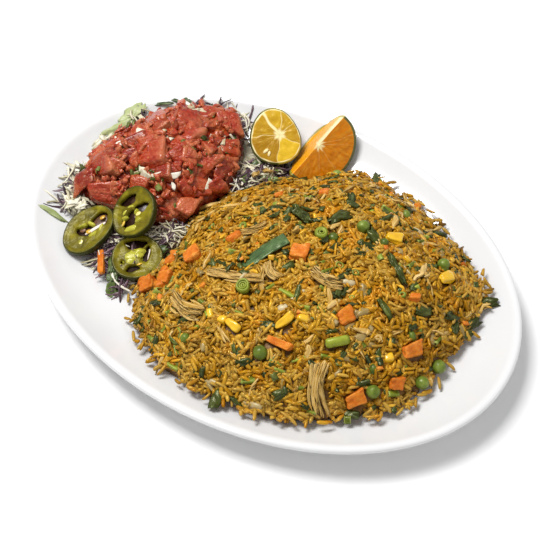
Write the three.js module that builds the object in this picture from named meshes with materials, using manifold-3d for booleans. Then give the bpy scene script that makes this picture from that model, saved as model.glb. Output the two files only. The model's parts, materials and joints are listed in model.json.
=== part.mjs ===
// Arroz con pollo on an oval coupe platter: a mound of seasoned rice, a bed of shredded cabbage under
// chopped tomato salsa, three pickled green chilli slices and two pieces of a small green-skinned citrus.
// Millimetres, +Z up. The origin is on the table under the platter's middle, +X along its long axis.

import * as THREE from 'three';
import { mergeVertices } from 'three/addons/utils/BufferGeometryUtils.js';
import Module from 'manifold-3d';

const wasm = await Module();
wasm.setup();

// ---------- driving dimensions ----------

const gap = 0.35; // air between two pieces that touch
const seat = 0.7; // from the platter's curve to a heap's floor, so that their facets stay apart

const platter = {
  halfLength: 177.8, // a 14 inch platter
  halfWidth: 128,
  rimHeight: 25.5,
  wellHeight: 6.5, // top of the flat middle
  lipWidth: 5, // flat rolled edge
  lipDrop: 0.8, // from the lip's crest to the crease inside it
  slopeWidth: 43, // from the crease down to the flat middle
  slopePower: 1.9,
  wall: 4.5,
  footInset: 48,
  footWidth: 6,
  footHeight: 2,
  sectors: 48,
};

// Each heap's outline runs anticlockwise, seen from above.
const rice = {
  centre: [38, -5],
  peak: 52, // above the table
  edge: 2.6, // the outermost grains stand this tall
  crown: 2.9, // higher is a flatter top with steeper flanks
  lump: 1.9,
  sectors: 46,
  rings: 7,
  outline: [
    [-64, -48], [-63, -70], [-43, -92], [-10, -106], [24, -110], [54, -103], [82, -94], [101, -79],
    [121, -62], [134, -40], [140, -8], [144, 22], [141, 47], [126, 66], [102, 82], [74, 94], [42, 100],
    [10, 101], [-14, 90], [-32, 70], [-46, 52], [-60, 34], [-68, 12], [-66, -8], [-58, -26],
  ],
};

const bed = {
  centre: [-104, 14],
  peak: 19,
  edge: 3.2,
  crown: 2.2,
  lump: 1.2,
  sectors: 36,
  rings: 3,
  outline: [
    [-150, -36], [-132, -42], [-113, -52], [-97, -64], [-78, -73], [-60, -68], [-48, -44], [-44, -8],
    [-34, 26], [-26, 52], [-36, 72], [-60, 82], [-80, 90], [-100, 93], [-119, 86], [-134, 74],
    [-147, 61], [-156, 44], [-160, 26], [-161, 8], [-158, -14],
  ],
};

const salsa = {
  centre: [-106, 32],
  peak: 43,
  edge: 5,
  crown: 2.3,
  lump: 2.2,
  sectors: 36,
  rings: 5,
  outline: [
    [-142, -28], [-126, -26], [-112, -23], [-96, -24], [-80, -20], [-66, -10], [-60, 10], [-56, 28],
    [-56, 48], [-64, 66], [-72, 82], [-84, 92], [-100, 91], [-117, 84], [-128, 72], [-137, 58],
    [-141, 44], [-152, 26], [-152, 10], [-154, -8],
  ],
};

// Slices of pickled chilli. Turn is about the slice's own axis; lean tips that axis towards leanTo.
const chilli = { thickness: 6, wall: 4.6, bevel: 0.7, points: 20 };
const chilliSlices = [
  {
    name: 'chilli_slice_left',
    at: [-112.6, -49.2, 20.2],
    major: 19.8,
    minor: 14.6,
    turn: 78,
    lean: 15,
    leanTo: 254,
    chambers: [[0.6, 12, 96], [0.56, 132, 196], [0.62, 252, 338]],
  },
  {
    name: 'chilli_slice_top',
    at: [-88.8, -26.8, 33.2],
    major: 17.4,
    minor: 15.6,
    turn: 101,
    lean: 31,
    leanTo: 252,
    chambers: [[0.68, 5, 78], [0.66, 128, 192], [0.68, 234, 302]],
  },
  {
    name: 'chilli_slice_front',
    at: [-72.3, -47.7, 17.8],
    major: 16.8,
    minor: 16.3,
    turn: 34,
    lean: 9,
    leanTo: 304,
    chambers: [[0.7, 60, 150], [0.62, 334, 396], [0.66, 238, 276]],
  },
];

// Small citrus fruit, cut in two ways.
const fruit = { radius: 19.6, halfLength: 29, sectors: 20, rings: 7 };
const citrusHalf = {
  name: 'citrus_half',
  at: [-51, 86, 28.5],
  turn: -38,
  lean: 31,
  leanTo: -56,
  squeeze: [1.06, 0.93, 0.9],
};
// The wedge's two cuts meet in a ridge. The fruit's own axis is askew to it.
const citrusWedge = {
  name: 'citrus_wedge',
  at: [-15.9, 93.2, 31.5],
  ridgeTo: 88,
  ridgeRise: 29,
  roll: -2,
  ridgeAngle: 120,
  askew: -17,
};

// ---------- the platter's form ----------

// How far inside the rim's edge a point lies, counted in nested ellipses.
function insetAt(x, y) {
  let low = -30;
  let high = platter.halfWidth - 1;
  for (let step = 0; step < 32; step++) {
    const middle = (low + high) / 2;
    const across = x / (platter.halfLength - middle);
    const along = y / (platter.halfWidth - middle);
    if (across * across + along * along > 1) high = middle;
    else low = middle;
  }
  return low;
}

function topAtInset(inset) {
  const crease = platter.rimHeight - platter.lipDrop;
  const share = THREE.MathUtils.clamp((inset - platter.lipWidth) / platter.slopeWidth, 0, 1);
  return platter.wellHeight + (crease - platter.wellHeight) * (1 - share) ** platter.slopePower;
}

function underAtInset(inset) {
  const run = 0.5;
  const slope = (topAtInset(inset) - topAtInset(inset + run)) / run;
  return topAtInset(inset) - platter.wall * Math.hypot(1, slope);
}

const platterTop = (x, y) => topAtInset(insetAt(x, y));

// ---------- mesh helpers ----------

// A closed body through rings of equal point counts, capped by a point at each end.
function loft(startPoint, rings, endPoint) {
  const count = rings[0].length;
  const points = [startPoint, ...rings.flat(), endPoint];
  const last = points.length - 1;
  const faces = [];
  for (let i = 0; i < count; i++) {
    const next = (i + 1) % count;
    faces.push(0, 1 + i, 1 + next);
    for (let ring = 0; ring < rings.length - 1; ring++) {
      const a = 1 + ring * count + i;
      const b = 1 + ring * count + next;
      faces.push(a, a + count, b, b, a + count, b + count);
    }
    const base = 1 + (rings.length - 1) * count;
    faces.push(base + next, base + i, last);
  }
  const geometry = new THREE.BufferGeometry();
  geometry.setAttribute('position', new THREE.Float32BufferAttribute(points.flat(), 3));
  geometry.setIndex(faces);
  return geometry;
}

function solidFrom(geometry, matrix = new THREE.Matrix4()) {
  const bare = geometry.clone().applyMatrix4(matrix);
  bare.deleteAttribute('normal');
  bare.deleteAttribute('uv');
  const merged = mergeVertices(bare, 1e-4);
  return new wasm.Manifold(new wasm.Mesh({
    numProp: 3,
    vertProperties: merged.attributes.position.array,
    triVerts: new Uint32Array(merged.index.array),
  }));
}

function geometryFrom(solid) {
  const mesh = solid.getMesh();
  const geometry = new THREE.BufferGeometry();
  geometry.setAttribute('position', new THREE.Float32BufferAttribute(mesh.vertProperties, 3));
  geometry.setIndex(Array.from(mesh.triVerts));
  return geometry;
}

// Cuts can leave crumbs of the body behind a neighbour. Only the largest piece is the food.
function largestOf(solid) {
  return solid.decompose().sort((a, b) => b.volume() - a.volume())[0];
}

// ---------- platter ----------

function platterGeometry() {
  const { lipWidth, slopeWidth, rimHeight, lipDrop, footInset, footWidth, footHeight, wall } = platter;
  const slopeSteps = 4;
  const stations = [[lipWidth + slopeWidth * 1.9, platter.wellHeight]];
  for (let step = slopeSteps; step >= 0; step--) {
    const inset = lipWidth + (slopeWidth * step) / slopeSteps;
    stations.push([inset, topAtInset(inset)]);
  }
  stations.push([lipWidth * 0.45, rimHeight]);
  stations.push([lipWidth * 0.1, rimHeight - lipDrop * 0.9]);
  stations.push([0, rimHeight - wall * 0.45]);
  stations.push([lipWidth * 0.2, rimHeight - wall * 0.95]);
  for (const share of [0.02, 0.3, 0.62]) {
    const inset = lipWidth + slopeWidth * share;
    stations.push([inset, underAtInset(inset)]);
  }
  stations.push([footInset - 4, footHeight + 0.6]);
  stations.push([footInset, 0]);
  stations.push([footInset + footWidth, 0]);
  stations.push([footInset + footWidth + 1.5, footHeight]);
  const rings = stations.map(([inset, height]) => {
    const ring = [];
    for (let i = 0; i < platter.sectors; i++) {
      const angle = (2 * Math.PI * i) / platter.sectors;
      const x = (platter.halfLength - inset) * Math.cos(angle);
      const y = (platter.halfWidth - inset) * Math.sin(angle);
      ring.push([x, y, height]);
    }
    return ring;
  });
  return loft([0, 0, platter.wellHeight], rings, [0, 0, footHeight]);
}

// ---------- heaps ----------

// A smooth unevenness of about one millimetre per unit, the same every time.
function lumpiness(x, y) {
  return (
    Math.sin(x / 7.3 + 1.1 * Math.sin(y / 11)) * 0.5 +
    Math.sin(y / 6.1 + 1.7 * Math.sin(x / 13) + 2) * 0.45 +
    Math.sin((x + y) / 15.5 + 0.8) * 0.6
  );
}

// A heap of small food. grow makes it larger all round, to cut its neighbours back from it.
function heapGeometry(heap, floorAt, grow = 0) {
  const corners = heap.outline.map(([x, y]) => new THREE.Vector3(x, y, 0));
  const outline = new THREE.CatmullRomCurve3(corners, true, 'centripetal').getSpacedPoints(heap.sectors);
  const [cx, cy] = heap.centre;
  const top = [];
  const bottom = [];
  const edge = outline.slice(0, heap.sectors).map((point, i) => {
    const ragged = 1 + 0.012 * Math.sin(i * 2.4) + 0.01 * Math.sin(i * 5.3 + 1);
    const reach = Math.hypot(point.x - cx, point.y - cy);
    const share = ragged + grow / reach;
    return [cx + (point.x - cx) * share, cy + (point.y - cy) * share];
  });
  const place = ([ex, ey], share) => [cx + (ex - cx) * share, cy + (ey - cy) * share];
  for (let ring = 1; ring <= heap.rings; ring++) {
    const share = Math.sin((Math.PI / 2) * (ring / heap.rings)) ** 0.9;
    top.push(edge.map((corner) => {
      const [x, y] = place(corner, share);
      const foot = floorAt(...corner) + heap.edge;
      const rise = 1 - share ** heap.crown;
      const lump = heap.lump * lumpiness(x, y) * Math.min(1, 3 * (1 - share));
      return [x, y, foot + (heap.peak - foot) * rise + lump + grow];
    }));
  }
  for (const share of [1, 0.8, 0.45]) {
    bottom.push(edge.map((corner) => {
      const [x, y] = place(corner, share);
      return [x, y, floorAt(x, y) + (grow ? -grow : seat)];
    }));
  }
  const crest = [cx, cy, heap.peak + heap.lump * lumpiness(cx, cy) + grow];
  return loft(crest, [...top, ...bottom], [cx, cy, floorAt(cx, cy) + (grow ? -grow : seat)]);
}

function plainMesh(geometry) {
  return new THREE.Mesh(geometry, new THREE.MeshBasicMaterial({ side: THREE.DoubleSide }));
}

// The height and the upward normal of a body's top at a point in plan.
function surfaceAt(mesh, x, y) {
  const ray = new THREE.Raycaster(new THREE.Vector3(x, y, 300), new THREE.Vector3(0, 0, -1));
  const [hit] = ray.intersectObject(mesh);
  const normal = hit ? hit.face.normal.clone() : new THREE.Vector3(0, 0, 1);
  if (normal.z < 0) normal.negate();
  return { height: hit ? hit.point.z : 0, normal };
}

// ---------- chilli slices ----------

// A chamber is a gap between the wall and the seed core, from one angle to another in degrees.
function chamberPath(slice, [reach, from, to]) {
  const path = new THREE.Path();
  const outerSteps = 4;
  const innerShare = 0.34;
  const middle = (from + to) / 2;
  for (let step = 0; step <= outerSteps; step++) {
    const share = step / outerSteps;
    const angle = THREE.MathUtils.degToRad(from + (to - from) * share);
    const bow = 1 - 0.12 * Math.abs(2 * share - 1) ** 3;
    const x = (slice.major - chilli.wall) * reach * 1.4 * bow * Math.cos(angle);
    const y = (slice.minor - chilli.wall) * reach * 1.4 * bow * Math.sin(angle);
    if (step) path.lineTo(x, y);
    else path.moveTo(x, y);
  }
  for (const side of [1, 0, -1]) {
    const angle = THREE.MathUtils.degToRad(middle + (side * (to - from)) / 4);
    path.lineTo(slice.major * innerShare * Math.cos(angle), slice.minor * innerShare * Math.sin(angle));
  }
  path.closePath();
  return path;
}

function chilliGeometry(slice, grow = 0) {
  const shape = new THREE.Shape();
  for (let i = 0; i < chilli.points; i++) {
    const angle = (2 * Math.PI * i) / chilli.points;
    const wobble = 1 + 0.025 * Math.sin(3 * angle + slice.turn) + 0.012 * Math.sin(5 * angle);
    const x = (slice.major - chilli.bevel + grow) * wobble * Math.cos(angle);
    const y = (slice.minor - chilli.bevel + grow) * wobble * Math.sin(angle);
    if (i) shape.lineTo(x, y);
    else shape.moveTo(x, y);
  }
  shape.closePath();
  if (!grow) shape.holes = slice.chambers.map((chamber) => chamberPath(slice, chamber));
  const depth = chilli.thickness - 2 * chilli.bevel + 2 * grow;
  const geometry = new THREE.ExtrudeGeometry(shape, {
    depth, bevelThickness: chilli.bevel, bevelSize: chilli.bevel, bevelSegments: 1, steps: 1,
  });
  return geometry.translate(0, 0, -depth / 2);
}

// A turn about the piece's own axis, then a lean of that axis towards a bearing.
function leaning(turn, lean, leanTo, at) {
  const degrees = THREE.MathUtils.degToRad;
  const matrix = new THREE.Matrix4().makeRotationZ(degrees(leanTo));
  matrix.multiply(new THREE.Matrix4().makeRotationY(degrees(lean)));
  matrix.multiply(new THREE.Matrix4().makeRotationZ(degrees(turn - leanTo)));
  return matrix.setPosition(...at);
}

// ---------- citrus ----------

function citrusHalfGeometry(grow = 0) {
  const profile = [new THREE.Vector2(0, -fruit.radius - grow)];
  for (let ring = 1; ring < fruit.rings; ring++) {
    const angle = (Math.PI / 2) * (ring / fruit.rings);
    const reach = fruit.radius + grow;
    profile.push(new THREE.Vector2(reach * Math.sin(angle), -reach * Math.cos(angle)));
  }
  profile.push(new THREE.Vector2(fruit.radius + grow, -0.8));
  profile.push(new THREE.Vector2(fruit.radius - 0.6 + grow, grow));
  profile.push(new THREE.Vector2(0, grow));
  const geometry = new THREE.LatheGeometry(profile, fruit.sectors);
  geometry.rotateX(Math.PI / 2);
  return geometry.scale(...citrusHalf.squeeze);
}

function wedgeMatrix() {
  const degrees = THREE.MathUtils.degToRad;
  const matrix = new THREE.Matrix4().makeRotationZ(degrees(citrusWedge.ridgeTo));
  matrix.multiply(new THREE.Matrix4().makeRotationY(degrees(-citrusWedge.ridgeRise)));
  matrix.multiply(new THREE.Matrix4().makeRotationX(degrees(citrusWedge.roll)));
  return matrix.setPosition(...citrusWedge.at);
}

// The fruit lies along X. Two flat cuts meet in a ridge along its core.
function citrusWedgeSolid(grow = 0) {
  const flesh = new THREE.SphereGeometry(1, fruit.sectors, 2 * fruit.rings).rotateZ(Math.PI / 2);
  flesh.scale(fruit.halfLength + grow, fruit.radius + grow, fruit.radius + grow);
  flesh.rotateZ(THREE.MathUtils.degToRad(citrusWedge.askew));
  let wedge = solidFrom(flesh);
  const slab = 4 * fruit.halfLength;
  for (const side of [1, -1]) {
    const cutter = new THREE.BoxGeometry(slab, slab, slab).translate(0, 0, slab / 2 + grow);
    cutter.rotateX(-side * THREE.MathUtils.degToRad(90 - citrusWedge.ridgeAngle / 2));
    wedge = wedge.subtract(solidFrom(cutter));
  }
  return wedge.transform(wedgeMatrix().elements);
}

// ---------- toppings that lie on the heaps ----------

function diceGeometry([length, width, height], grow) {
  const geometry = new THREE.BoxGeometry(length, width, height);
  const corner = geometry.attributes.position;
  for (let i = 0; i < corner.count; i++) {
    const [x, y, z] = [corner.getX(i), corner.getY(i), corner.getZ(i)];
    const skew = 1 + 0.09 * Math.sign(x * y) - 0.07 * Math.sign(y * z);
    corner.setXYZ(i, x * skew + Math.sign(x) * grow, y / skew + Math.sign(y) * grow, z + Math.sign(z) * grow);
  }
  return geometry;
}

function peaGeometry([diameter], grow) {
  return new THREE.IcosahedronGeometry(diameter / 2 + grow, 1);
}

// A strand of pulled meat: a flattened bundle that narrows at both ends and bows sideways.
function strandGeometry([length, width, height], grow) {
  const sides = 6;
  const stations = 4;
  const rings = [];
  for (let station = 0; station <= stations; station++) {
    const along = (station / stations) * 2 - 1;
    const girth = 0.45 + 0.55 * Math.sqrt(1 - 0.9 * along * along);
    const ring = [];
    for (let side = 0; side < sides; side++) {
      const angle = (-2 * Math.PI * side) / sides;
      const y = (width / 2) * girth * Math.cos(angle) + grow * Math.cos(angle);
      const z = (height / 2) * girth * Math.sin(angle) + grow * Math.sin(angle);
      ring.push([along * (length / 2), y + width * 0.3 * (along * along - 0.4), z]);
    }
    rings.push(ring);
  }
  const tip = length / 2 + 1 + grow;
  return loft([-tip, width * 0.18, 0], rings, [tip, width * 0.18, 0]);
}

function ringGeometry([diameter, height], grow) {
  const outer = diameter / 2 + grow;
  const inner = grow ? 0 : diameter * 0.2;
  const half = height / 2 + grow;
  const profile = [[inner, -half], [outer, -half], [outer, half], [inner, half]];
  if (!grow) profile.push(profile[0]);
  const geometry = new THREE.LatheGeometry(profile.map(([x, y]) => new THREE.Vector2(x, y)), 10);
  return geometry.rotateX(Math.PI / 2);
}

// A piece of hollow stalk lying on its side.
function tubeGeometry([length, diameter], grow) {
  return ringGeometry([diameter, length], grow).rotateY(Math.PI / 2);
}

// A flat leaf strip, folded along its middle and drooping at its ends.
function leafGeometry([length, width, thickness], grow) {
  const steps = 4;
  const rings = [];
  for (let step = 0; step <= steps; step++) {
    const along = (step / steps) * 2 - 1;
    const half = (width / 2) * (1 - 0.35 * Math.max(0, -along) ** 2) + grow;
    const droop = -0.09 * length * along * along;
    const x = along * (length / 2 + grow);
    const up = thickness / 2 + grow;
    const fold = width * 0.14;
    rings.push([
      [x, -half, droop - up], [x, -half, droop + up], [x, 0, droop + fold + up],
      [x, half, droop + up], [x, half, droop - up], [x, 0, droop + fold - up],
    ]);
  }
  const end = -0.09 * length + width * 0.05;
  return loft([-length / 2 - grow, 0, end], rings, [length / 2 + grow, 0, end]);
}

// What lies on the rice, in groups of one form and finish. Each piece is centred over [x, y] and turned in
// plan by turn degrees. Its middle stands rise above the rice, which is cut back to make room for it.
const toppings = [
  {
    form: leafGeometry,
    finish: 'leek',
    pieces: [
      { name: 'leek_leaf', at: [9, -16], turn: 64, size: [34, 10, 1.6], rise: 1.4 },
      { name: 'dark_leaf_back', at: [33, 37], turn: 66, size: [16, 8, 1.6], rise: 1 },
      { name: 'dark_leaf_left', at: [12, 24], turn: -12, size: [16, 8, 1.6], rise: 1 },
      { name: 'dark_leaf_right', at: [85, 22], turn: -33, size: [24, 5, 1.6], rise: 1 },
      { name: 'scallion_blade', at: [94, -6], turn: -26, size: [16, 6, 1.6], rise: 1 },
    ],
  },
  {
    form: leafGeometry,
    finish: 'scallion',
    pieces: [
      { name: 'scallion_leaf', at: [113, 11], turn: 39, size: [12, 7, 1.6], rise: 1 },
    ],
  },
  {
    form: strandGeometry,
    finish: 'chicken',
    pieces: [
      { name: 'chicken_long', at: [4, -40], turn: 18, size: [37, 5.5, 4], rise: 1 },
      { name: 'chicken_left', at: [-13, -71], turn: -6, size: [27, 9, 5], rise: 1 },
      { name: 'chicken_front', at: [87, -71], turn: -51, size: [32, 10, 6], rise: 1.2 },
      { name: 'chicken_flake', at: [54, -12], turn: 7, size: [21, 8, 4.5], rise: 1 },
      { name: 'chicken_thin', at: [-8, -3], turn: 40, size: [18, 4.5, 4], rise: 1 },
      { name: 'chicken_fold', at: [22, -26], turn: -27, size: [13, 7, 4.5], rise: 1 },
    ],
  },
  {
    form: diceGeometry,
    finish: 'carrot',
    pieces: [
      { name: 'carrot_top', at: [29, -5], turn: 25, size: [11, 9.5, 7], rise: 0.8 },
      { name: 'carrot_left', at: [-33, -37], turn: 60, size: [11, 8.5, 7], rise: 0.8 },
      { name: 'carrot_low', at: [-41, -57], turn: 20, size: [9, 7, 6], rise: 0.6 },
      { name: 'carrot_edge', at: [-52.5, -62.5], turn: 36, size: [11, 6.5, 6], rise: 0.6 },
      { name: 'carrot_middle', at: [77, -26], turn: 70, size: [10.5, 8.5, 7], rise: 0.8 },
      { name: 'carrot_right', at: [120, -15], turn: 60, size: [13, 8, 6], rise: 0.8 },
      { name: 'carrot_front', at: [107, -60], turn: 63, size: [12, 8, 6], rise: 0.8 },
      { name: 'carrot_low_right', at: [122, -37], turn: 40, size: [9, 7, 6], rise: 0.6 },
      { name: 'carrot_shred', at: [53, -64], turn: 2, size: [17, 4, 3.5], rise: 0.9 },
    ],
  },
  {
    form: peaGeometry,
    finish: 'pea',
    pieces: [
      { name: 'pea_front', at: [45, -73], turn: 0, size: [9.4], rise: 1.6 },
      { name: 'pea_right', at: [135.5, -7], turn: 0, size: [9.2], rise: 1 },
      { name: 'pea_low_right', at: [133, -24], turn: 0, size: [8.8], rise: 1 },
      { name: 'pea_back', at: [51.5, 36.5], turn: 0, size: [8.8], rise: 1.2 },
      { name: 'pea_low', at: [113.5, -50], turn: 0, size: [8.6], rise: 1 },
      { name: 'pea_far', at: [105, 51], turn: 0, size: [8.4], rise: 1 },
    ],
  },
  {
    form: ringGeometry,
    finish: 'scallion',
    pieces: [
      { name: 'scallion_round', at: [13.5, -45], turn: 0, size: [9.2, 7], rise: 1.6 },
      { name: 'scallion_slice', at: [31.5, 17], turn: 0, size: [9, 3.6], rise: 1 },
    ],
  },
  {
    form: tubeGeometry,
    finish: 'scallion',
    pieces: [
      { name: 'scallion_tube', at: [81.5, -43], turn: 46, size: [14.5, 6], rise: 1.6 },
    ],
  },
  {
    form: diceGeometry,
    finish: 'corn',
    pieces: [
      { name: 'corn_left', at: [21.5, -68], turn: -9, size: [10, 7, 5], rise: 1 },
      { name: 'corn_middle', at: [48.5, -51], turn: 64, size: [12, 5.5, 5], rise: 1 },
      { name: 'corn_right', at: [112, 42], turn: 68, size: [10.5, 7.5, 5], rise: 1 },
      { name: 'corn_back', at: [71, 44], turn: 29, size: [10, 7, 5], rise: 1 },
    ],
  },
];

// ---------- assembly ----------

const salsaFloor = (x, y) => Math.max(platterTop(x, y) + 3.5, 11.5);

const finishes = {
  porcelain: { color: 0xf4f4f2, roughness: 0.18 },
  rice: { color: 0xc08a2c, roughness: 0.55 },
  cabbage: { color: 0xd9d8c2, roughness: 0.45 },
  tomato: { color: 0xb8392b, roughness: 0.3 },
  chilli: { color: 0x6f7219, roughness: 0.25 },
  citrus: { color: 0xe59a25, roughness: 0.3 },
  leek: { color: 0x28552c, roughness: 0.35 },
  chicken: { color: 0xb98a45, roughness: 0.6 },
  carrot: { color: 0xdd6f1c, roughness: 0.4 },
  pea: { color: 0x5c8a24, roughness: 0.35 },
  scallion: { color: 0x6fae2e, roughness: 0.35 },
  corn: { color: 0xeebb2c, roughness: 0.35 },
};

const arrozConPollo = new THREE.Group();

function addPiece(name, finish, geometry, matrix = new THREE.Matrix4()) {
  const material = new THREE.MeshStandardMaterial({ metalness: 0, ...finishes[finish] });
  const piece = new THREE.Mesh(geometry, material);
  piece.name = name;
  piece.applyMatrix4(matrix);
  arrozConPollo.add(piece);
}

addPiece('platter', 'porcelain', platterGeometry());

const riceSurface = plainMesh(heapGeometry(rice, platterTop));
const riceGrown = solidFrom(heapGeometry(rice, platterTop, gap));
const salsaGrown = solidFrom(heapGeometry(salsa, salsaFloor, gap));
let riceSolid = solidFrom(riceSurface.geometry);
let bedSolid = solidFrom(heapGeometry(bed, platterTop)).subtract(riceGrown).subtract(salsaGrown);
let salsaSolid = solidFrom(heapGeometry(salsa, salsaFloor)).subtract(riceGrown);

function cutHeaps(cutter) {
  riceSolid = riceSolid.subtract(cutter);
  bedSolid = bedSolid.subtract(cutter);
  salsaSolid = salsaSolid.subtract(cutter);
}

for (const slice of chilliSlices) {
  const matrix = leaning(slice.turn, slice.lean, slice.leanTo, slice.at);
  addPiece(slice.name, 'chilli', chilliGeometry(slice), matrix);
  cutHeaps(solidFrom(chilliGeometry(slice, gap), matrix));
}

const halfMatrix = leaning(citrusHalf.turn, citrusHalf.lean, citrusHalf.leanTo, citrusHalf.at);
addPiece(citrusHalf.name, 'citrus', citrusHalfGeometry(), halfMatrix);
cutHeaps(solidFrom(citrusHalfGeometry(gap), halfMatrix));
addPiece(citrusWedge.name, 'citrus', geometryFrom(citrusWedgeSolid()));
cutHeaps(citrusWedgeSolid(gap));

for (const { form, finish, pieces } of toppings) {
  for (const { name, at, turn, size, rise } of pieces) {
    const { height, normal } = surfaceAt(riceSurface, ...at);
    const lie = new THREE.Quaternion().setFromUnitVectors(new THREE.Vector3(0, 0, 1), normal);
    const spin = new THREE.Matrix4().makeRotationZ(THREE.MathUtils.degToRad(turn));
    const matrix = new THREE.Matrix4().makeRotationFromQuaternion(lie).multiply(spin);
    matrix.setPosition(...at, height + rise);
    addPiece(name, finish, form(size, 0), matrix);
    cutHeaps(solidFrom(form(size, gap), matrix));
  }
}

addPiece('rice_mound', 'rice', geometryFrom(largestOf(riceSolid)));
addPiece('cabbage_bed', 'cabbage', geometryFrom(largestOf(bedSolid)));
addPiece('tomato_salsa', 'tomato', geometryFrom(largestOf(salsaSolid)));

export default arrozConPollo;
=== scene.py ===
# An oval platter of seasoned rice with chicken, salsa on shredded cabbage, pickled chilli and cut citrus.
# All of it is built around the CAD frame, in metres. A length in millimetres is written 5 * mm.
import json
import math

import bpy
import numpy as np
from mathutils import Matrix, Vector, noise
from mathutils.bvhtree import BVHTree


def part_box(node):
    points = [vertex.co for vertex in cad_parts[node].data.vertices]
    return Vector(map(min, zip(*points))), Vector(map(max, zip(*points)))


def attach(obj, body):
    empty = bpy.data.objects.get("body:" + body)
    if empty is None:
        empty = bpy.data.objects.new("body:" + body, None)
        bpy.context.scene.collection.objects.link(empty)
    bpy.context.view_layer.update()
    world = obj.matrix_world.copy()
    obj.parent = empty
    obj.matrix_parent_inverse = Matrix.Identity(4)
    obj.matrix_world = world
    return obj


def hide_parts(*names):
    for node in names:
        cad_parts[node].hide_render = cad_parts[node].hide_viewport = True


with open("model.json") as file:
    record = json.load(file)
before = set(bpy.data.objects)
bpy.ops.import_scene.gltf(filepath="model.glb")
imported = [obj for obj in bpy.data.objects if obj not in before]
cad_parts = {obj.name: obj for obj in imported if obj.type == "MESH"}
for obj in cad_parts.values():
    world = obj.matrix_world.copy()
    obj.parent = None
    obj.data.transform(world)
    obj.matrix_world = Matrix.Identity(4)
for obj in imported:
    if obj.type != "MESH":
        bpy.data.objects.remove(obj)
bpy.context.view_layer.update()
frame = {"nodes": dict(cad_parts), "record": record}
mm = 0.001
up, down = Vector((0, 0, 1)), Vector((0, 0, -1))
sky = 0.2  # a height above everything, to look down from


# Puts x, y and z together as points. A plain number serves for all of them.
def xyz(x, y, z):
    return np.stack(np.broadcast_arrays(x, y, z), axis=-1)


def unit(vectors):
    return vectors / np.linalg.norm(vectors, axis=-1, keepdims=True)


def halved(quads):
    return np.vstack([quads[:, [0, 1, 2]], quads[:, [0, 2, 3]]])


# A shape is a dictionary of points, triangles that face outwards, and a mask for the shader.
def asShape(points, triangles, mask):
    points, triangles = np.asarray(points, float), np.asarray(triangles, int)
    a, b, c = (points[corner] for corner in triangles.T)
    if np.einsum("ij,ij->", a, np.cross(b, c)) < 0:
        triangles = triangles[:, ::-1]
    return {"points": points, "triangles": triangles, "mask": np.ravel(mask).astype(float)}


# Points that share a place become one, and the triangles that this flattens go.
def welded(shape):
    keys = np.round(shape["points"] / (0.004 * mm)).astype(np.int64)
    first, where = np.unique(keys, axis=0, return_index=True, return_inverse=True)[1:]
    triangles = where.reshape(-1)[shape["triangles"]]
    a, b, c = triangles.T
    keep = (a != b) & (b != c) & (c != a)
    joined = {label: values[first] for label, values in shape.items() if label not in ("triangles", "finish")}
    if "finish" in shape:
        joined["finish"] = shape["finish"][keep]
    return {**joined, "triangles": triangles[keep]}


# Joins rings of points into a closed skin. A loop's last ring meets its first, otherwise two tips close it.
def loft(rings, tips=None, loop=False, mask=None):
    rings = np.asarray(rings, float)
    points = rings.reshape(-1, 3)
    index = np.arange(len(points)).reshape(rings.shape[:2])
    mask = np.zeros(index.shape) if mask is None else np.asarray(mask, float)
    here, ahead = (index, np.roll(index, -1, 0)) if loop else (index[:-1], index[1:])
    corners = [here, np.roll(here, -1, 1), np.roll(ahead, -1, 1), ahead]
    triangles = [halved(np.stack(corners, axis=-1).reshape(-1, 4))]
    if not loop:
        for number, edge in enumerate((index[0][::-1], index[-1])):
            triangles.append(xyz(edge, np.roll(edge, -1), len(points) + number))
        points = np.vstack([points, [rings[0].mean(0), rings[-1].mean(0)] if tips is None else tips])
        mask = np.append(mask, [mask[0].mean(), mask[-1].mean()])
    return asShape(points, np.vstack(triangles), mask)


# The quads of a grid of points. A round grid joins its last column to its first.
def gridQuads(rows, columns, around=False):
    index = np.arange(rows * columns).reshape(rows, columns)
    if around:
        index = np.hstack([index, index[:, :1]])
    corners = [index[:-1, :-1], index[1:, :-1], index[1:, 1:], index[:-1, 1:]]
    return np.stack(corners, axis=-1).reshape(-1, 4)


# Two layers of points that share their quads, closed along every open edge.
def slabSkin(top, bottom, quads, mask=None):
    size = len(top)
    edges = np.vstack([quads[:, [i, (i + 1) % 4]] for i in range(4)])
    single = ~np.isin(edges[:, 0] * size + edges[:, 1], edges[:, 1] * size + edges[:, 0])
    a, b = edges[single].T
    sides = np.stack([b, a, a + size, b + size], axis=1)
    used, where = np.unique(halved(np.vstack([quads, quads[:, ::-1] + size, sides])), return_inverse=True)
    mask = np.zeros(size) if mask is None else np.ravel(mask)
    return asShape(np.vstack([top, bottom])[used], where.reshape(-1, 3), np.tile(mask, 2)[used])


# Smooth noise from about -1 to 1 at each point. size is how wide its bumps are.
def bumps(points, size, seed):
    shift = Vector((seed * 7.3, seed * 3.1, seed * 5.7))
    values = [noise.noise(Vector(point) / size + shift) for point in points.reshape(-1, 3)]
    return np.array(values).reshape(points.shape[:-1])


def planBumps(x, y, size, seed):
    return bumps(xyz(x, y, 0), size, seed)


# Turns x and y about the origin, counterclockwise.
def swung(x, y, angle):
    return x * math.cos(angle) - y * math.sin(angle), x * math.sin(angle) + y * math.cos(angle)


def smoothStep(value, low, high):
    share = np.clip((value - low) / (high - low), 0, 1)
    return share * share * (3 - 2 * share)


def circle(steps):
    return np.arange(steps) * 2 * math.pi / steps


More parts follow.
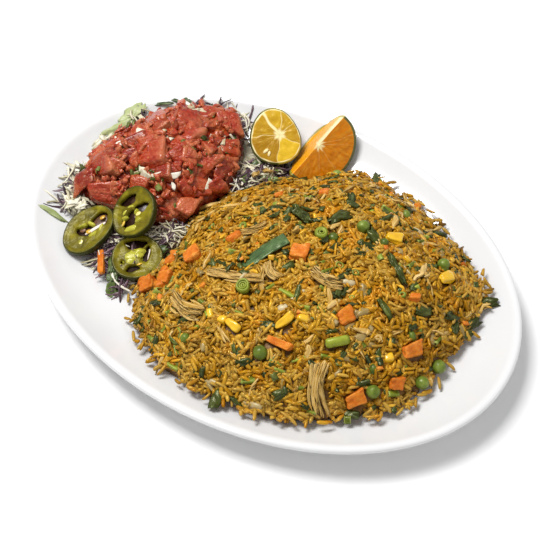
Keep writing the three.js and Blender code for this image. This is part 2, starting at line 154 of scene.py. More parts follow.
# A grain of rice, bent sideways.
def grainShape(length, width, thick, bend):
    angle = circle(5)
    rings = []
    for share in (-0.9, -0.46, 0.46, 0.9):
        girth = (1 - abs(share) ** 4) ** 0.5
        y = width / 2 * girth * np.cos(angle) + bend * share * share
        rings.append(xyz(share * length / 2, y, thick / 2 * girth * np.sin(angle)))
    return loft(rings, [[-length / 2, bend, 0], [length / 2, bend, 0]])


# A scrap of leaf, peel or onion: thin, curled along its length and cupped across.
def flakeShape(length, width, thick, curl, cup, ragged, seed, steps, taper):
    along, across = np.meshgrid(
        np.linspace(-1, 1, steps[0] + 1), np.linspace(-1, 1, steps[1] + 1), indexing="ij")
    spread = 1 - taper * np.abs(along) ** 2.5
    edge = planBumps(along * 2, across * 2, 1.1, seed)
    x = along * length / 2 * (1 + ragged * edge)
    y = across * width / 2 * spread * (1 + ragged * np.roll(edge, 1, 0))
    lift = -curl * length * along ** 2 - cup * width * across ** 2 + 0.35 * ragged * width * edge
    top = xyz(x, y, lift + thick / 2).reshape(-1, 3)
    return slabSkin(top, top - np.array([0, 0, thick]), gridQuads(*along.shape), np.abs(along))


# A cut cube with soft edges: the grid of a cube pushed out to a rounded block, sheared and roughened.
def blockShape(size, softness, shear, rough, seed, steps=4, taper=0.0):
    line = np.linspace(-1, 1, steps + 1)
    u, v = (grid.ravel() for grid in np.meshgrid(line, line, indexing="ij"))
    quads = gridQuads(steps + 1, steps + 1)
    triangles = halved(np.vstack([quads + number * len(u) for number in range(6)]))
    points = np.vstack([
        np.roll(xyz(side, u * side, v), axis, axis=1) for axis in range(3) for side in (-1, 1)])
    power = 2 + 10 * (1 - softness)
    points = points / (np.abs(points) ** power).sum(1, keepdims=True) ** (1 / power)
    points = points * (1 + rough * bumps(points, 0.8, seed)[:, None])
    points[:, 1:] *= 1 + taper * points[:, :1]
    points[:, 0] += shear[0] * points[:, 1]
    points[:, 1] += shear[1] * points[:, 2]
    mask = 0.5 + 0.5 * points[:, 0]
    return welded(asShape(points * np.array(size) / 2, triangles, mask))


# A ring of stalk or onion. sag squeezes it into an oval.
def ringShape(outer, inner, height, sectors, sag, seed):
    half, middle = height / 2, (inner + outer) / 2
    section = [(inner, half), (middle, half * 1.12), (outer, half * 0.8)]
    section += [(outer, -half * 0.8), (middle, -half), (inner, -half)]
    rings = []
    for angle in circle(sectors):
        wander = 1 + 0.05 * math.sin(2 * angle + seed) + 0.03 * math.sin(3 * angle + 2 * seed)
        squash = 1 - sag * abs(math.sin(angle))
        rings.append([
            (r * wander * math.cos(angle), r * wander * squash * math.sin(angle), z) for r, z in section])
    return loft(rings, loop=True, mask=np.tile([1, 0.6, 0, 0, 0.6, 1], (sectors, 1)))


# A round or flat lump: pea, seed, crumb of pith.
def lumpShape(size, rough, seed, rings, sides, lump=0.8):
    around = circle(sides)
    layers = []
    for angle in np.linspace(-math.pi / 2, math.pi / 2, rings + 2)[1:-1]:
        across = math.cos(angle)
        layers.append(xyz(math.sin(angle), across * np.cos(around), across * np.sin(around)))
    shape = loft(layers, [[-1, 0, 0], [1, 0, 0]])
    points = shape["points"] * (1 + rough * bumps(shape["points"], lump, seed)[:, None])
    return {**shape, "points": points * np.array(size) / 2, "mask": 0.5 + 0.5 * points[:, 0]}


# A shred: a strip, 1 long before it is bent, that wanders to and fro, so that no two lie alike.
def shredShape(width, thick, bend, seed):
    rng = np.random.default_rng(seed)
    stations, lift = 10, 0.05
    turns = np.cumsum(rng.normal(0, bend / stations, stations)) + rng.normal(0, bend * 0.4)
    turns += np.linspace(-1, 1, stations) * rng.normal(0, bend * 0.7)
    step = 1 / (stations - 1)
    z = lift * np.sin(np.linspace(0, rng.uniform(2, 5), stations) + rng.uniform(0, 3))
    x, y = np.cumsum(np.cos(turns)) * step, np.cumsum(np.sin(turns)) * step
    line = xyz(x - x.mean(), y - y.mean(), z - z.mean())
    up = np.array([0, 0, thick / 2])
    rings = []
    for i, share in enumerate(np.linspace(-1, 1, stations)):
        half = width / 2 * (1 - 0.55 * share ** 4) * (1 + 0.2 * rng.normal())
        side = np.array([-math.sin(turns[i]), math.cos(turns[i]), rng.normal(0, 0.25)])
        rings.append([line[i] - side * half, line[i] + up, line[i] + side * half, line[i] - up])
    return loft(rings, mask=np.tile([1, 0, 1, 0], (stations, 1)))


# Pulled meat: a thin slab ridged along its fibres, with torn ends. line runs down its middle.
def tornShape(line, width, height, seed, steps, up=(0, 0, 1)):
    rng = np.random.default_rng(seed)
    rows, columns = steps
    line = np.asarray(line, float)
    where = np.linspace(0, 1, len(line))
    heading = unit(np.gradient(line, axis=0))
    side = np.cross(heading, up)
    side /= np.linalg.norm(side, axis=1, keepdims=True) + 1e-9
    over = np.cross(side, heading)
    across = np.linspace(-1, 1, columns)
    tears = rng.uniform(0, 1, (2, columns)) ** 1.6 * 0.5
    share = tears[0] + (1 - tears[1] - tears[0]) * np.linspace(0, 1, rows)[:, None]
    at = [xyz(*(np.interp(share, where, axis) for axis in part.T)) for part in (line, side, over)]
    ridges = np.zeros_like(share)
    for fineness in (6, 11, 19):
        wander = rng.uniform(-1.8, 1.8) * np.sin(share * rng.uniform(2, 6) + rng.uniform(0, 6))
        ridges += np.sin(across * fineness + wander + rng.uniform(0, 6)) / 3
    spread = 0.72 + 0.28 * np.sin(share * rng.uniform(3, 6) + rng.uniform(0, 6))
    spread = spread * (1 - 0.35 * (2 * share - 1) ** 4)
    lens = np.sqrt(1 - 0.85 * across ** 2) * (1 - 0.6 * (2 * share - 1) ** 6)
    top = at[0] + at[1] * (across * spread * width / 2)[..., None]
    bottom = top - at[2] * (height * 0.35 * lens)[..., None]
    top = top + at[2] * (height * (0.35 * lens + 0.1 * ridges))[..., None]
    mask = np.clip(0.5 + 0.6 * ridges, 0, 1)
    return slabSkin(top.reshape(-1, 3), bottom.reshape(-1, 3), gridQuads(rows, columns), mask)


# Gathers shapes and joins them into one mesh. Each copy has a tint of its own, and each point keeps the place
# that it had in its shape, so that streaks and veins follow the piece.
class Batch:
    def __init__(self):
        self.points, self.triangles = [], []
        self.tints, self.masks, self.locals, self.finishes = [], [], [], []
        self.size = 0

    def scatter(self, shapes, picks, turns, places, tints, finish=0):
        picks = np.asarray(picks)
        for number, shape in enumerate(shapes):
            chosen = np.flatnonzero(picks == number)
            if not len(chosen):
                continue
            local = shape.get("local", shape["points"])
            moved = np.einsum("kij,pj->kpi", turns[chosen], shape["points"]) + places[chosen][:, None, :]
            first = self.size + np.arange(len(chosen)) * len(local)
            triangles = shape["triangles"][None] + first[:, None, None]
            shifts = xyz(chosen * 0.37, chosen * 0.53, chosen * 0.71) % 3.0  # no two copies look alike
            self.points.append(moved.reshape(-1, 3))
            self.triangles.append(triangles.reshape(-1, 3))
            self.tints.append(np.repeat(tints[chosen], len(local)))
            self.masks.append(np.tile(shape["mask"], len(chosen)))
            sizes = np.linalg.norm(turns[chosen], axis=1)
            self.locals.append((local[None] * sizes[:, None] + shifts[:, None] * mm * 40).reshape(-1, 3))
            finishes = np.broadcast_to(shape.get("finish", finish), len(shape["triangles"]))
            self.finishes.append(np.tile(finishes, len(chosen)))
            self.size += len(chosen) * len(local)

    def add(self, shape, turn=np.identity(3), centre=(0, 0, 0), tint=0.5, finish=0):
        tints = np.atleast_1d(np.asarray(tint, float))
        self.scatter([shape], [0], turn[None], np.array([centre], float), tints[:1], finish)
        if len(tints) > 1:
            self.tints[-1] = tints

    # Joins what has been added into one mesh. What would sink into the platter is pressed up onto its glaze.
    def build(self, name, materials, slot, nodes, onPlate=True):
        points = np.vstack(self.points)
        if onPlate:
            floor = platterHeight(points[:, 0], points[:, 1])
            gap, reach = 0.3 * mm, 4 * mm
            low = points[:, 2] < floor + gap
            points[low, 2] = floor[low] + gap * np.exp((points[low, 2] - floor[low] - gap) / reach)
        points = points.astype(np.float32)
        triangles = np.vstack(self.triangles).astype(np.int32)
        mesh = bpy.data.meshes.new(name)
        mesh.vertices.add(len(points))
        mesh.vertices.foreach_set("co", points.ravel())
        mesh.loops.add(triangles.size)
        mesh.loops.foreach_set("vertex_index", triangles.ravel())
        mesh.polygons.add(len(triangles))
        mesh.polygons.foreach_set("loop_start", np.arange(0, triangles.size, 3, dtype=np.int32))
        mesh.polygons.foreach_set("material_index", np.concatenate(self.finishes).astype(np.int32))
        mesh.update(calc_edges=True)
        mesh.polygons.foreach_set("use_smooth", np.ones(len(triangles), bool))
        for label, values in (("tint", self.tints), ("mask", self.masks), ("local", self.locals)):
            kind, field = ("FLOAT_VECTOR", "vector") if label == "local" else ("FLOAT", "value")
            layer = mesh.attributes.new(label, kind, "POINT")
            layer.data.foreach_set(field, np.concatenate(values).astype(np.float32).ravel())
        for material in materials:
            mesh.materials.append(material)
        piece = bpy.data.objects.new(name, mesh)
        bpy.context.scene.collection.objects.link(piece)
        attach(piece, "root")
        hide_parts(*nodes)
        print(f"{name}: {len(triangles)} triangles")


# Where things lie.

def nodeMesh(name):
    mesh = frame["nodes"][name].data
    points = np.array([vertex.co for vertex in mesh.vertices], float)
    mesh.calc_loop_triangles()
    triangles = np.array([face.vertices for face in mesh.loop_triangles], int)
    return points, triangles


def treeOf(names):
    points, triangles, size = [], [], 0
    for name in names:
        nodePoints, nodeTriangles = nodeMesh(name)
        points.append(nodePoints)
        triangles.append(nodeTriangles + size)
        size += len(nodePoints)
    return BVHTree.FromPolygons(np.vstack(points).tolist(), np.vstack(triangles).tolist())


# Points as seen along some axes, about the middle of their extent, and where that middle is.
def centred(points, turn):
    local = (points - points.mean(0)) @ turn
    middle = (local.max(0) + local.min(0)) / 2
    return local - middle, points.mean(0) + turn @ middle


# A node's own centre, axes (longest first, the last one up) and size along each of them.
def nodeAxes(name, upright=False):
    points = nodeMesh(name)[0]
    spread = points - points.mean(0)
    values, vectors = np.linalg.eigh(spread.T @ spread)
    axes = vectors[:, ::-1].copy()
    if upright:  # a round piece: its axis is the one that differs from the other two
        odd = int(np.argmax(np.abs(values[::-1] - np.median(values))))
        axes = axes[:, [i for i in range(3) if i != odd] + [odd]]
    if axes[2, 2] < 0:
        axes[:, 2] *= -1
    if axes[0, 0] < 0:
        axes[:, 0] *= -1
    axes[:, 1] = np.cross(axes[:, 2], axes[:, 0])
    local, centre = centred(points, axes)
    return centre, axes, local.max(0) - local.min(0)


# Turns that lay copies on a slope: yaw about the slope's normal, then tilt along and roll about each copy.
def turnsOn(normals, yaw, tilt, roll, scale):
    across = unit(np.cross(normals, xyz(np.cos(yaw), np.sin(yaw), 0)))
    along = np.cross(across, normals)
    tilt, roll = tilt[:, None], roll[:, None]
    along, up = along * np.cos(tilt) + normals * np.sin(tilt), normals * np.cos(tilt) - along * np.sin(tilt)
    across, up = across * np.cos(roll) + up * np.sin(roll), up * np.cos(roll) - across * np.sin(roll)
    turns = np.stack([along, across, up], axis=2)
    return turns if scale is None else turns * scale.reshape(len(turns), 1, -1)


platterLook = {
    "lipWidth": 5 * mm,
    "lipDrop": 0.8 * mm,
    "slopeWidth": 43 * mm,
    "slopePower": 1.9,
    "wellHeight": 6.5 * mm,
    "wall": 4.5 * mm,
    "footInset": 48 * mm,
    "footHeight": 2 * mm,
    # the foot ring's section, in mm: how far inside its outer edge, and how high
    "foot": [(-4, 2.6), (-1.2, 0.9), (0, 0.05), (0.6, 0), (5.4, 0), (6, 0.1), (7.5, 2)],
    # the lip outside its crease: share of its width, depth below the crest, then depth as a share of the wall
    "lipTop": [(0.82, 0.45 * mm), (0.6, 0.08 * mm), (0.42, 0), (0.22, 0.2 * mm), (0.08, 0.8 * mm)],
    "lipUnder": [(0, 0.45), (0.04, 0.7), (0.2, 0.95)],
    "sectors": 192,
    "slopeSteps": 22,
    "tones": ((0.715, 0.715, 0.72), (0.74, 0.74, 0.74)),
    "gloss": (0.12, 0.2),
}
halfLength, halfWidth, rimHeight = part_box("platter")[1]


def glazeHeight(inset):
    look = platterLook
    crease = rimHeight - look["lipDrop"]
    share = np.clip((inset - look["lipWidth"]) / look["slopeWidth"], 0, 1)
    return look["wellHeight"] + (crease - look["wellHeight"]) * (1 - share) ** look["slopePower"]


# The height of the glazed top under each point in plan. The rim is a row of nested ellipses.
def platterHeight(x, y):
    x, y = np.asarray(x, float), np.asarray(y, float)
    low = np.full(x.shape, -30 * mm)
    high = np.full(x.shape, halfWidth - 1 * mm)
    for step in range(24):
        middle = (low + high) / 2
        outside = (x / (halfLength - middle)) ** 2 + (y / (halfWidth - middle)) ** 2 > 1
        high = np.where(outside, middle, high)
        low = np.where(outside, low, middle)
    return glazeHeight(low)


# The upper surface of a CAD node, read from above on a square grid. Dents narrower than fill are levelled.
class Relief:
    def __init__(self, name, fill=0.0, blur=2):
        step = self.step = 1.5 * mm
        margin = 8 * step
        low, high = (corner[:2] for corner in np.array(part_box(name)))
        self.low = low - margin
        sizes = np.ceil((high + margin - self.low) / step).astype(int) + 1
        xs, ys = (start + np.arange(size) * step for start, size in zip(self.low, sizes))
        self.x, self.y = np.meshgrid(xs, ys, indexing="ij")
        self.floor = platterHeight(self.x, self.y)
        tree = treeOf([name])
        hits = [tree.ray_cast(Vector((x, y, sky)), down)[0] for x in xs for y in ys]
        heights = np.array([np.nan if hit is None else hit.z for hit in hits]).reshape(self.x.shape)
        self.covered = ~np.isnan(heights)
        heights = np.where(self.covered, heights, self.floor)
        reach = int(round(fill / step))
        for choose in (np.maximum, np.minimum):
            for axis in (0, 1):
                heights = choose.reduce([np.roll(heights, shift, axis) for shift in range(-reach, reach + 1)])
        weight = self.covered.astype(float)
        around = [(i, j) for i in (-1, 0, 1) for j in (-1, 0, 1)]
        count = np.maximum(sum(np.roll(weight, shift, (0, 1)) for shift in around), 1)
        for turn in range(blur):
            total = sum(np.roll(heights * weight, shift, (0, 1)) for shift in around)
            heights = np.where(self.covered, total / count, heights)
        self.heights = heights

    def cell(self, x, y):
        places = [(np.asarray(value) - low) / self.step for value, low in zip((x, y), self.low)]
        return [np.clip(place, 0, size - 1.001) for place, size in zip(places, self.x.shape)]

    def at(self, x, y):
        i, j = self.cell(x, y)
        a, b = i.astype(int), j.astype(int)
        p, q = i - a, j - b
        near, far = (self.heights[a, side] * (1 - p) + self.heights[a + 1, side] * p for side in (b, b + 1))
        return near * (1 - q) + far * q

    def covers(self, x, y):
        i, j = self.cell(x, y)
        return self.covered[np.round(i).astype(int), np.round(j).astype(int)]

    def normals(self, x, y):
        reach = 3 * mm
        dx = (self.at(x + reach, y) - self.at(x - reach, y)) / (2 * reach)
        dy = (self.at(x, y + reach) - self.at(x, y - reach)) / (2 * reach)
        return unit(xyz(-dx, -dy, 1))

    # Tries random places, so many times the count at once, until enough are kept.
    def gather(self, count, times, rng, kept):
        x, y = np.empty(0), np.empty(0)
        while len(x) < count:
            sides = zip(self.low, self.x.shape)
            tryX, tryY = (low + rng.uniform(0, size * self.step, count * times) for low, size in sides)
            keep = kept(tryX, tryY)
            x, y = np.append(x, tryX[keep]), np.append(y, tryY[keep])
        return x[:count], y[:count]

    # Random points on the surface, as many on a slope as its area asks for.
    def sprinkle(self, count, rng, margin):
        def kept(x, y):
            keep = self.covers(x, y)
            for shiftX, shiftY in ((margin, 0), (-margin, 0), (0, margin), (0, -margin)):
                keep &= self.covers(x + shiftX, y + shiftY)
            return keep & (rng.uniform(0, 2.2, len(x)) < 1 / np.maximum(self.normals(x, y)[:, 2], 0.3))

        return self.gather(count, 2, rng, kept)

    # Random points just outside the edge.
    def fringe(self, count, rng, reach):
        def kept(x, y):
            gap = reach * rng.uniform(0.1, 1, len(x)) ** 1.6
            near = [self.covers(x + gap * math.cos(angle), y + gap * math.sin(angle)) for angle in circle(12)]
            return np.any(near, axis=0) & ~self.covers(x, y)

        return self.gather(count, 12, rng, kept)

    # A closed core that stays under the loose pieces. drop is how far below the surface it lies.
    def core(self, drop, lump, lumpSize, seed, inset=1):
        inside = self.covered
        shifts = range(-inset, inset + 1)
        for axis in (0, 1):
            inside = np.logical_and.reduce([np.roll(inside, shift, axis) for shift in shifts])
        x, y, heights, floor, inside = (
            grid[::2, ::2] for grid in (self.x, self.y, self.heights, self.floor, inside))
        top = np.maximum(heights - drop + lump * planBumps(x, y, lumpSize, seed), floor + 0.4 * mm)
        cells = inside[:-1, :-1] & inside[1:, :-1] & inside[1:, 1:] & inside[:-1, 1:]
        layers = [xyz(x, y, z).reshape(-1, 3) for z in (top, floor + 0.15 * mm)]
        return slabSkin(*layers, gridQuads(*x.shape)[cells.ravel()])


# Links a socket to another one or gives it a value. Colours are written without their alpha.
def feed(tree, socket, value):
    if isinstance(value, bpy.types.NodeSocket):
        tree.links.new(value, socket)
    else:
        socket.default_value = (*value, 1) if socket.type == "RGBA" else value


def place(tree, kind, inputs={}, **settings):
    node = tree.nodes.new(kind)
    for label, value in settings.items():
        setattr(node, label, value)
    for label, value in inputs.items():
        feed(tree, node.inputs[label], value)
    return node


def calc(tree, operation, first, second):
    return place(tree, "ShaderNodeMath", {0: first, 1: second}, operation=operation).outputs[0]


def span(tree, value, fromLow, fromHigh, toLow=0, toHigh=1):
    inputs = {0: value, 1: fromLow, 2: fromHigh, 3: toLow, 4: toHigh}
    return place(tree, "ShaderNodeMapRange", inputs).outputs[0]


def mixColours(tree, share, first, second):
    return place(tree, "ShaderNodeMix", {0: share, 6: first, 7: second}, data_type="RGBA").outputs[2]


def noiseOf(tree, where, scale, detail):
    return place(tree, "ShaderNodeTexNoise", {"Vector": where, "Scale": scale, "Detail": detail}).outputs[0]


# A node group. nodes gets the group and its inputs, and returns what goes to each output.
def newGroup(name, inputs, outputs, nodes):
    group = bpy.data.node_groups.new(name, "ShaderNodeTree")
    for way, kinds in (("INPUT", inputs), ("OUTPUT", outputs)):
        for kind, labels in kinds.items():
            for label in labels:
                group.interface.new_socket(name=label, in_out=way, socket_type="NodeSocket" + kind)
    place(group, "NodeGroupOutput", nodes(group, place(group, "NodeGroupInput").outputs))
    return group


# Three colours chosen by each copy's tint, clouded by noise, with a finer grain for bump and gloss.
def foodToneNodes(group, given):
    cloud = noiseOf(group, given["Place"], given["Cloud Scale"], 3)
    grain = noiseOf(group, given["Place"], given["Grain Scale"], 4)
    swing = calc(group, "MULTIPLY", calc(group, "SUBTRACT", cloud, 0.5), given["Cloud Amount"])
    tone = calc(group, "ADD", given["Tint"], swing)
    lower = mixColours(group, span(group, tone, 0, 0.5), given["Dark"], given["Middle"])
    height = calc(group, "ADD", calc(group, "MULTIPLY", cloud, 0.6), calc(group, "MULTIPLY", grain, 0.4))
    return {
        "Height": height,
        "Colour": mixColours(group, span(group, tone, 0.5, 1), lower, given["Light"]),
        "Roughness": span(group, grain, 0.3, 0.7, given["Gloss Low"], given["Gloss High"]),
    }


# Streaks along a piece, as in meat, leaf veins and stalks.
def streakNodes(group, given):
    parts = place(group, "ShaderNodeSeparateXYZ", {0: given["Place"]}).outputs
    along, across = given["Along"], given["Across"]
    scaled = {i: calc(group, "MULTIPLY", parts[i], scale) for i, scale in enumerate((along, across, across))}
    lines = noiseOf(group, place(group, "ShaderNodeCombineXYZ", scaled).outputs[0], 1, 2)
    return {"Mask": calc(group, "POWER", span(group, lines, 0.3, 0.7), given["Sharpness"]), "Height": lines}


# Small pale or dark specks, as of seeds and pulp.
def speckNodes(group, given):
    cells = place(group, "ShaderNodeTexVoronoi", {"Vector": given["Place"], "Scale": given["Scale"]})
    return {"Mask": span(group, calc(group, "SUBTRACT", given["Size"], cells.outputs["Distance"]), 0, 0.12)}


# Soft patches that run on from one piece to the next, as where sauce has soaked in.
def stainNodes(group, given):
    where = place(group, "ShaderNodeTexCoord").outputs["Object"]
    return {"Mask": span(group, noiseOf(group, where, given["Scale"], 3), 0.5, 0.68)}


toneLabels = (
    "Dark", "Middle", "Light", "Cloud Scale", "Cloud Amount", "Grain Scale", "Gloss Low", "Gloss High")
foodTones = newGroup(
    "foodTones", {"Vector": ["Place"], "Color": toneLabels[:3], "Float": ["Tint", *toneLabels[3:]]},
    {"Color": ["Colour"], "Float": ["Roughness", "Height"]}, foodToneNodes)
# what a look may add, each by its key: the node group and the names of its settings
patterns = {
    "streaks": (newGroup(
        "streaks", {"Vector": ["Place"], "Float": ["Across", "Along", "Sharpness"]},
        {"Float": ["Mask", "Height"]}, streakNodes), ("Across", "Along", "Sharpness")),
    "specks": (newGroup(
        "specks", {"Vector": ["Place"], "Float": ["Scale", "Size"]}, {"Float": ["Mask"]}, speckNodes),
        ("Scale", "Size")),
    "stain": (newGroup("stains", {"Float": ["Scale"]}, {"Float": ["Mask"]}, stainNodes), ("Scale",)),
}


def newMaterial(name, settings):
    material = bpy.data.materials.new(name)
    material.use_nodes = True
    shader = material.node_tree.nodes["Principled BSDF"]
    for label, value in settings.items():
        feed(material.node_tree, shader.inputs[label], value)
    return material, material.node_tree, shader


def addBump(tree, shader, height, strength, distance):
    bump = place(tree, "ShaderNodeBump", {"Strength": strength, "Distance": distance, "Height": height})
    feed(tree, shader.inputs["Normal"], bump.outputs[0])


# A food finish: three tones picked by the tint, patterns over them, and another colour where the mask is.
# A pattern's last two values are how much of it shows, and its colour. Scales are in waves to the metre.
# shine is how strongly it reflects, and in what colour.
def foodFinish(name, look):
    strength, tone = look.get("shine", (0.5, (1, 1, 1)))
    settings = {"Specular IOR Level": strength, "Specular Tint": tone, **look.get("shader", {})}
    material, tree, shader = newMaterial(name, settings)
    where = place(tree, "ShaderNodeAttribute", attribute_name="local").outputs["Vector"]
    tint = place(tree, "ShaderNodeAttribute", attribute_name="tint").outputs["Fac"]
    values = (*look["tones"], *look["cloud"], look["grain"], *look["gloss"])
    inputs = {"Place": where, "Tint": tint, **dict(zip(toneLabels, values))}
    tones = place(tree, "ShaderNodeGroup", inputs, node_tree=foodTones).outputs
    colour, height = tones["Colour"], tones["Height"]
    for key, (group, labels) in patterns.items():
        if key in look:
            *values, share, other = look[key]
            inputs = dict(zip(labels, values))
            if key != "stain":
                inputs["Place"] = where
            made = place(tree, "ShaderNodeGroup", inputs, node_tree=group).outputs
            colour = mixColours(tree, calc(tree, "MULTIPLY", made["Mask"], share), colour, other)
            if "Height" in made:
                height = calc(tree, "ADD", calc(tree, "MULTIPLY", made["Height"], 0.7), height)
    if "edge" in look:
        other, low, high = look["edge"]
        mask = place(tree, "ShaderNodeAttribute", attribute_name="mask").outputs["Fac"]
        colour = mixColours(tree, span(tree, mask, low, high), colour, other)
    feed(tree, shader.inputs["Base Color"], colour)
    feed(tree, shader.inputs["Roughness"], tones["Roughness"])
    addBump(tree, shader, height, *look["bump"])
    return material


# The platter: the same profile as the frame, round many more sectors.

def glazeFinish():
    material, tree, shader = newMaterial("whiteGlaze", {
        "Specular IOR Level": 0.5, "Coat Weight": 0.5, "Coat Roughness": 0.06})
    where = place(tree, "ShaderNodeTexCoord").outputs["Object"]
    wave, speck = noiseOf(tree, where, 16, 2), noiseOf(tree, where, 900, 2)
    colour = mixColours(tree, span(tree, wave, 0.3, 0.7), *platterLook["tones"])
    feed(tree, shader.inputs["Base Color"], colour)
    feed(tree, shader.inputs["Roughness"], span(tree, speck, 0.3, 0.7, *platterLook["gloss"]))
    addBump(tree, shader, calc(tree, "ADD", wave, calc(tree, "MULTIPLY", speck, 0.03)), 0.15, 0.6 * mm)
    return material


def makePlatter():
    look = platterLook
    lip, slope, wall = look["lipWidth"], look["slopeWidth"], look["wall"]
    crest = rimHeight - 0.02 * mm
    profile = [(lip + slope * 1.7, look["wellHeight"]), (lip + slope * 1.15, look["wellHeight"])]
    for share in np.linspace(1, 0, look["slopeSteps"]):
        inset = lip + slope * share
        profile.append((inset, float(glazeHeight(inset))))
    profile += [(lip * share, crest - drop) for share, drop in look["lipTop"]]
    profile += [(lip * share, rimHeight - wall * drop) for share, drop in look["lipUnder"]]
    for share in np.linspace(0.02, 0.74, 12):
        inset = lip + slope * share
        steep = (glazeHeight(inset) - glazeHeight(inset + 0.5 * mm)) / (0.5 * mm)
        profile.append((inset, float(glazeHeight(inset) - wall * math.hypot(1, steep))))
    profile += [(look["footInset"] + inset * mm, height * mm) for inset, height in look["foot"]]
    angle = circle(look["sectors"])
    rings = [
        xyz((halfLength - inset) * np.cos(angle), (halfWidth - inset) * np.sin(angle), height)
        for inset, height in profile]
    batch = Batch()
    batch.add(loft(rings, [[0, 0, look["wellHeight"]], [0, 0, look["footHeight"]]]))
    batch.build("glazedPlatter", [glazeFinish()], "porcelain", ["platter"], onPlate=False)


makePlatter()


# Rice, with what is chopped into it.

toppingSlots = ("leaf", "scallion", "chicken", "carrot", "pea", "corn")
toppingNodes = {slot: [] for slot in toppingSlots}
for part in frame["record"]["subparts"]:
    if part["material_slot"] in toppingSlots:
        toppingNodes[part["material_slot"]].append(part["node"])
allToppings = sum(toppingNodes.values(), [])
chilliNodes = ["chilli_slice_left", "chilli_slice_top", "chilli_slice_front"]
citrusNodes = ["citrus_half", "citrus_wedge"]
toppingTree = treeOf(allToppings)
bigPieceTree = treeOf(chilliNodes + citrusNodes)
riceRelief = Relief("rice_mound", fill=6 * mm)


# True where a topping lies over the point, so that nothing loose hides it.
def underTopping(x, y, z):
    hit = toppingTree.ray_cast(Vector((x, y, sky)), down)[0]
    return hit is not None and hit.z > z - 2 * mm


# True inside a slice of chilli or a piece of citrus.
def inBigPiece(point):
    hit, normal = bigPieceTree.ray_cast(Vector(point), up)[:2]
    return hit is not None and normal.z > 0


# Which of the copies keep clear of the larger pieces. overlap is how many may reach under one with an end.
def clearOf(centres, turns, reach, overlap, rng):
    keep = np.zeros(len(centres), bool)
    for i, centre in enumerate(centres):
        ends = [centre, centre + turns[i][:, 0] * reach, centre - turns[i][:, 0] * reach]
        if not any(inBigPiece(end) for end in ends):
            hidden = [underTopping(*end) for end in ends]
            keep[i] = not (hidden[0] or sum(hidden) > 1 or (sum(hidden) and rng.uniform() > overlap))
    return keep


riceLook = {
    "grains": 9800,
    "pieces": 4,  # the grains are shared between this many meshes
    "size": (7.5 * mm, 2.6 * mm, 2.2 * mm),  # length, width, thickness
    "spread": (0.15, 0.15, 0.1),  # how far each of them strays, as a share of it
    "broken": (0.12, 0.62),  # how many grains are broken, and how much of their length is left
    # how each shape bends, in mm, and how pale and dry it looks
    "kinds": [(-0.8, 0.0), (0.3, 0.12), (0.0, 0.3), (0.7, 0.6), (-0.35, 1.0)],
    "lump": 1.3 * mm,
    "lumpSize": 11 * mm,
    "layers": [(-2.7 * mm, 0.22), (-1.7 * mm, 0.42), (-0.8 * mm, 0.29), (0.2 * mm, 0.07)],  # height, share
    "tilt": 0.2,
    "margin": 3.2 * mm,
    "skirt": (110, 1.2 * mm),  # grains on the platter round the foot of the heap, and how far out they lie
    "coreDrop": 2.9 * mm,
    "seed": 11,
}


# The rice is lumpy: how far it stands above or below its smooth surface.
def riceLumps(x, y):
    look = riceLook
    fine = planBumps(x, y, look["lumpSize"] * 0.45, 2)
    return look["lump"] * (planBumps(x, y, look["lumpSize"], 1) + 0.7 * fine)


# Centres and turns for pieces laid on a heap. lift is the height over the surface, along its slope's normal,
# and rest is the least height over the glaze. Both lift and tilt fade towards the heap's foot.
def layOn(relief, x, y, lift, yaw, tilt, roll, scale, rest):
    normals = relief.normals(x, y)
    height = relief.at(x, y)
    edge = 0.35 + 0.65 * smoothStep(height - platterHeight(x, y), 0, 9 * mm)
    centres = xyz(x, y, height) + normals * (lift * edge)[:, None]
    centres[:, 2] = np.maximum(centres[:, 2], platterHeight(centres[:, 0], centres[:, 1]) + rest)
    return centres, turnsOn(normals, yaw, tilt * edge, roll, scale)


# Lays a copy at each place, of the shape that picks names.
def strew(batch, shapes, relief, x, y, lift, yaw, lean, scale, picks, tone):
    centres, turns = layOn(relief, x, y, lift, yaw, *lean, scale, 3 * mm)
    batch.scatter(shapes, picks, turns, centres, tone)


# The turn and the centre of one listed piece. Lengths are in mm, the heading in degrees.
def layOne(relief, x, y, lift, heading, tilt, roll, rest):
    values = (x * mm, y * mm, lift * mm, math.radians(heading), tilt, roll)
    centres, turns = layOn(relief, *(np.array([value]) for value in values), None, rest * mm)
    return turns[0], centres[0]


def makeRiceCore():
    # its dark colour is painted shade in the gaps between the grains
    finish = foodFinish("riceDepth", {
        "tones": ((0.035, 0.015, 0.001), (0.15, 0.062, 0.002), (0.36, 0.165, 0.006)),
        "cloud": (220, 1.2), "grain": 700, "gloss": (0.4, 0.7),
        "bump": (0.8, 1.2 * mm),
    })
    batch = Batch()
    batch.add(riceRelief.core(riceLook["coreDrop"], riceLook["lump"], riceLook["lumpSize"], 1, inset=2))
    batch.build("riceCore", [finish], "rice", ["rice_mound"])


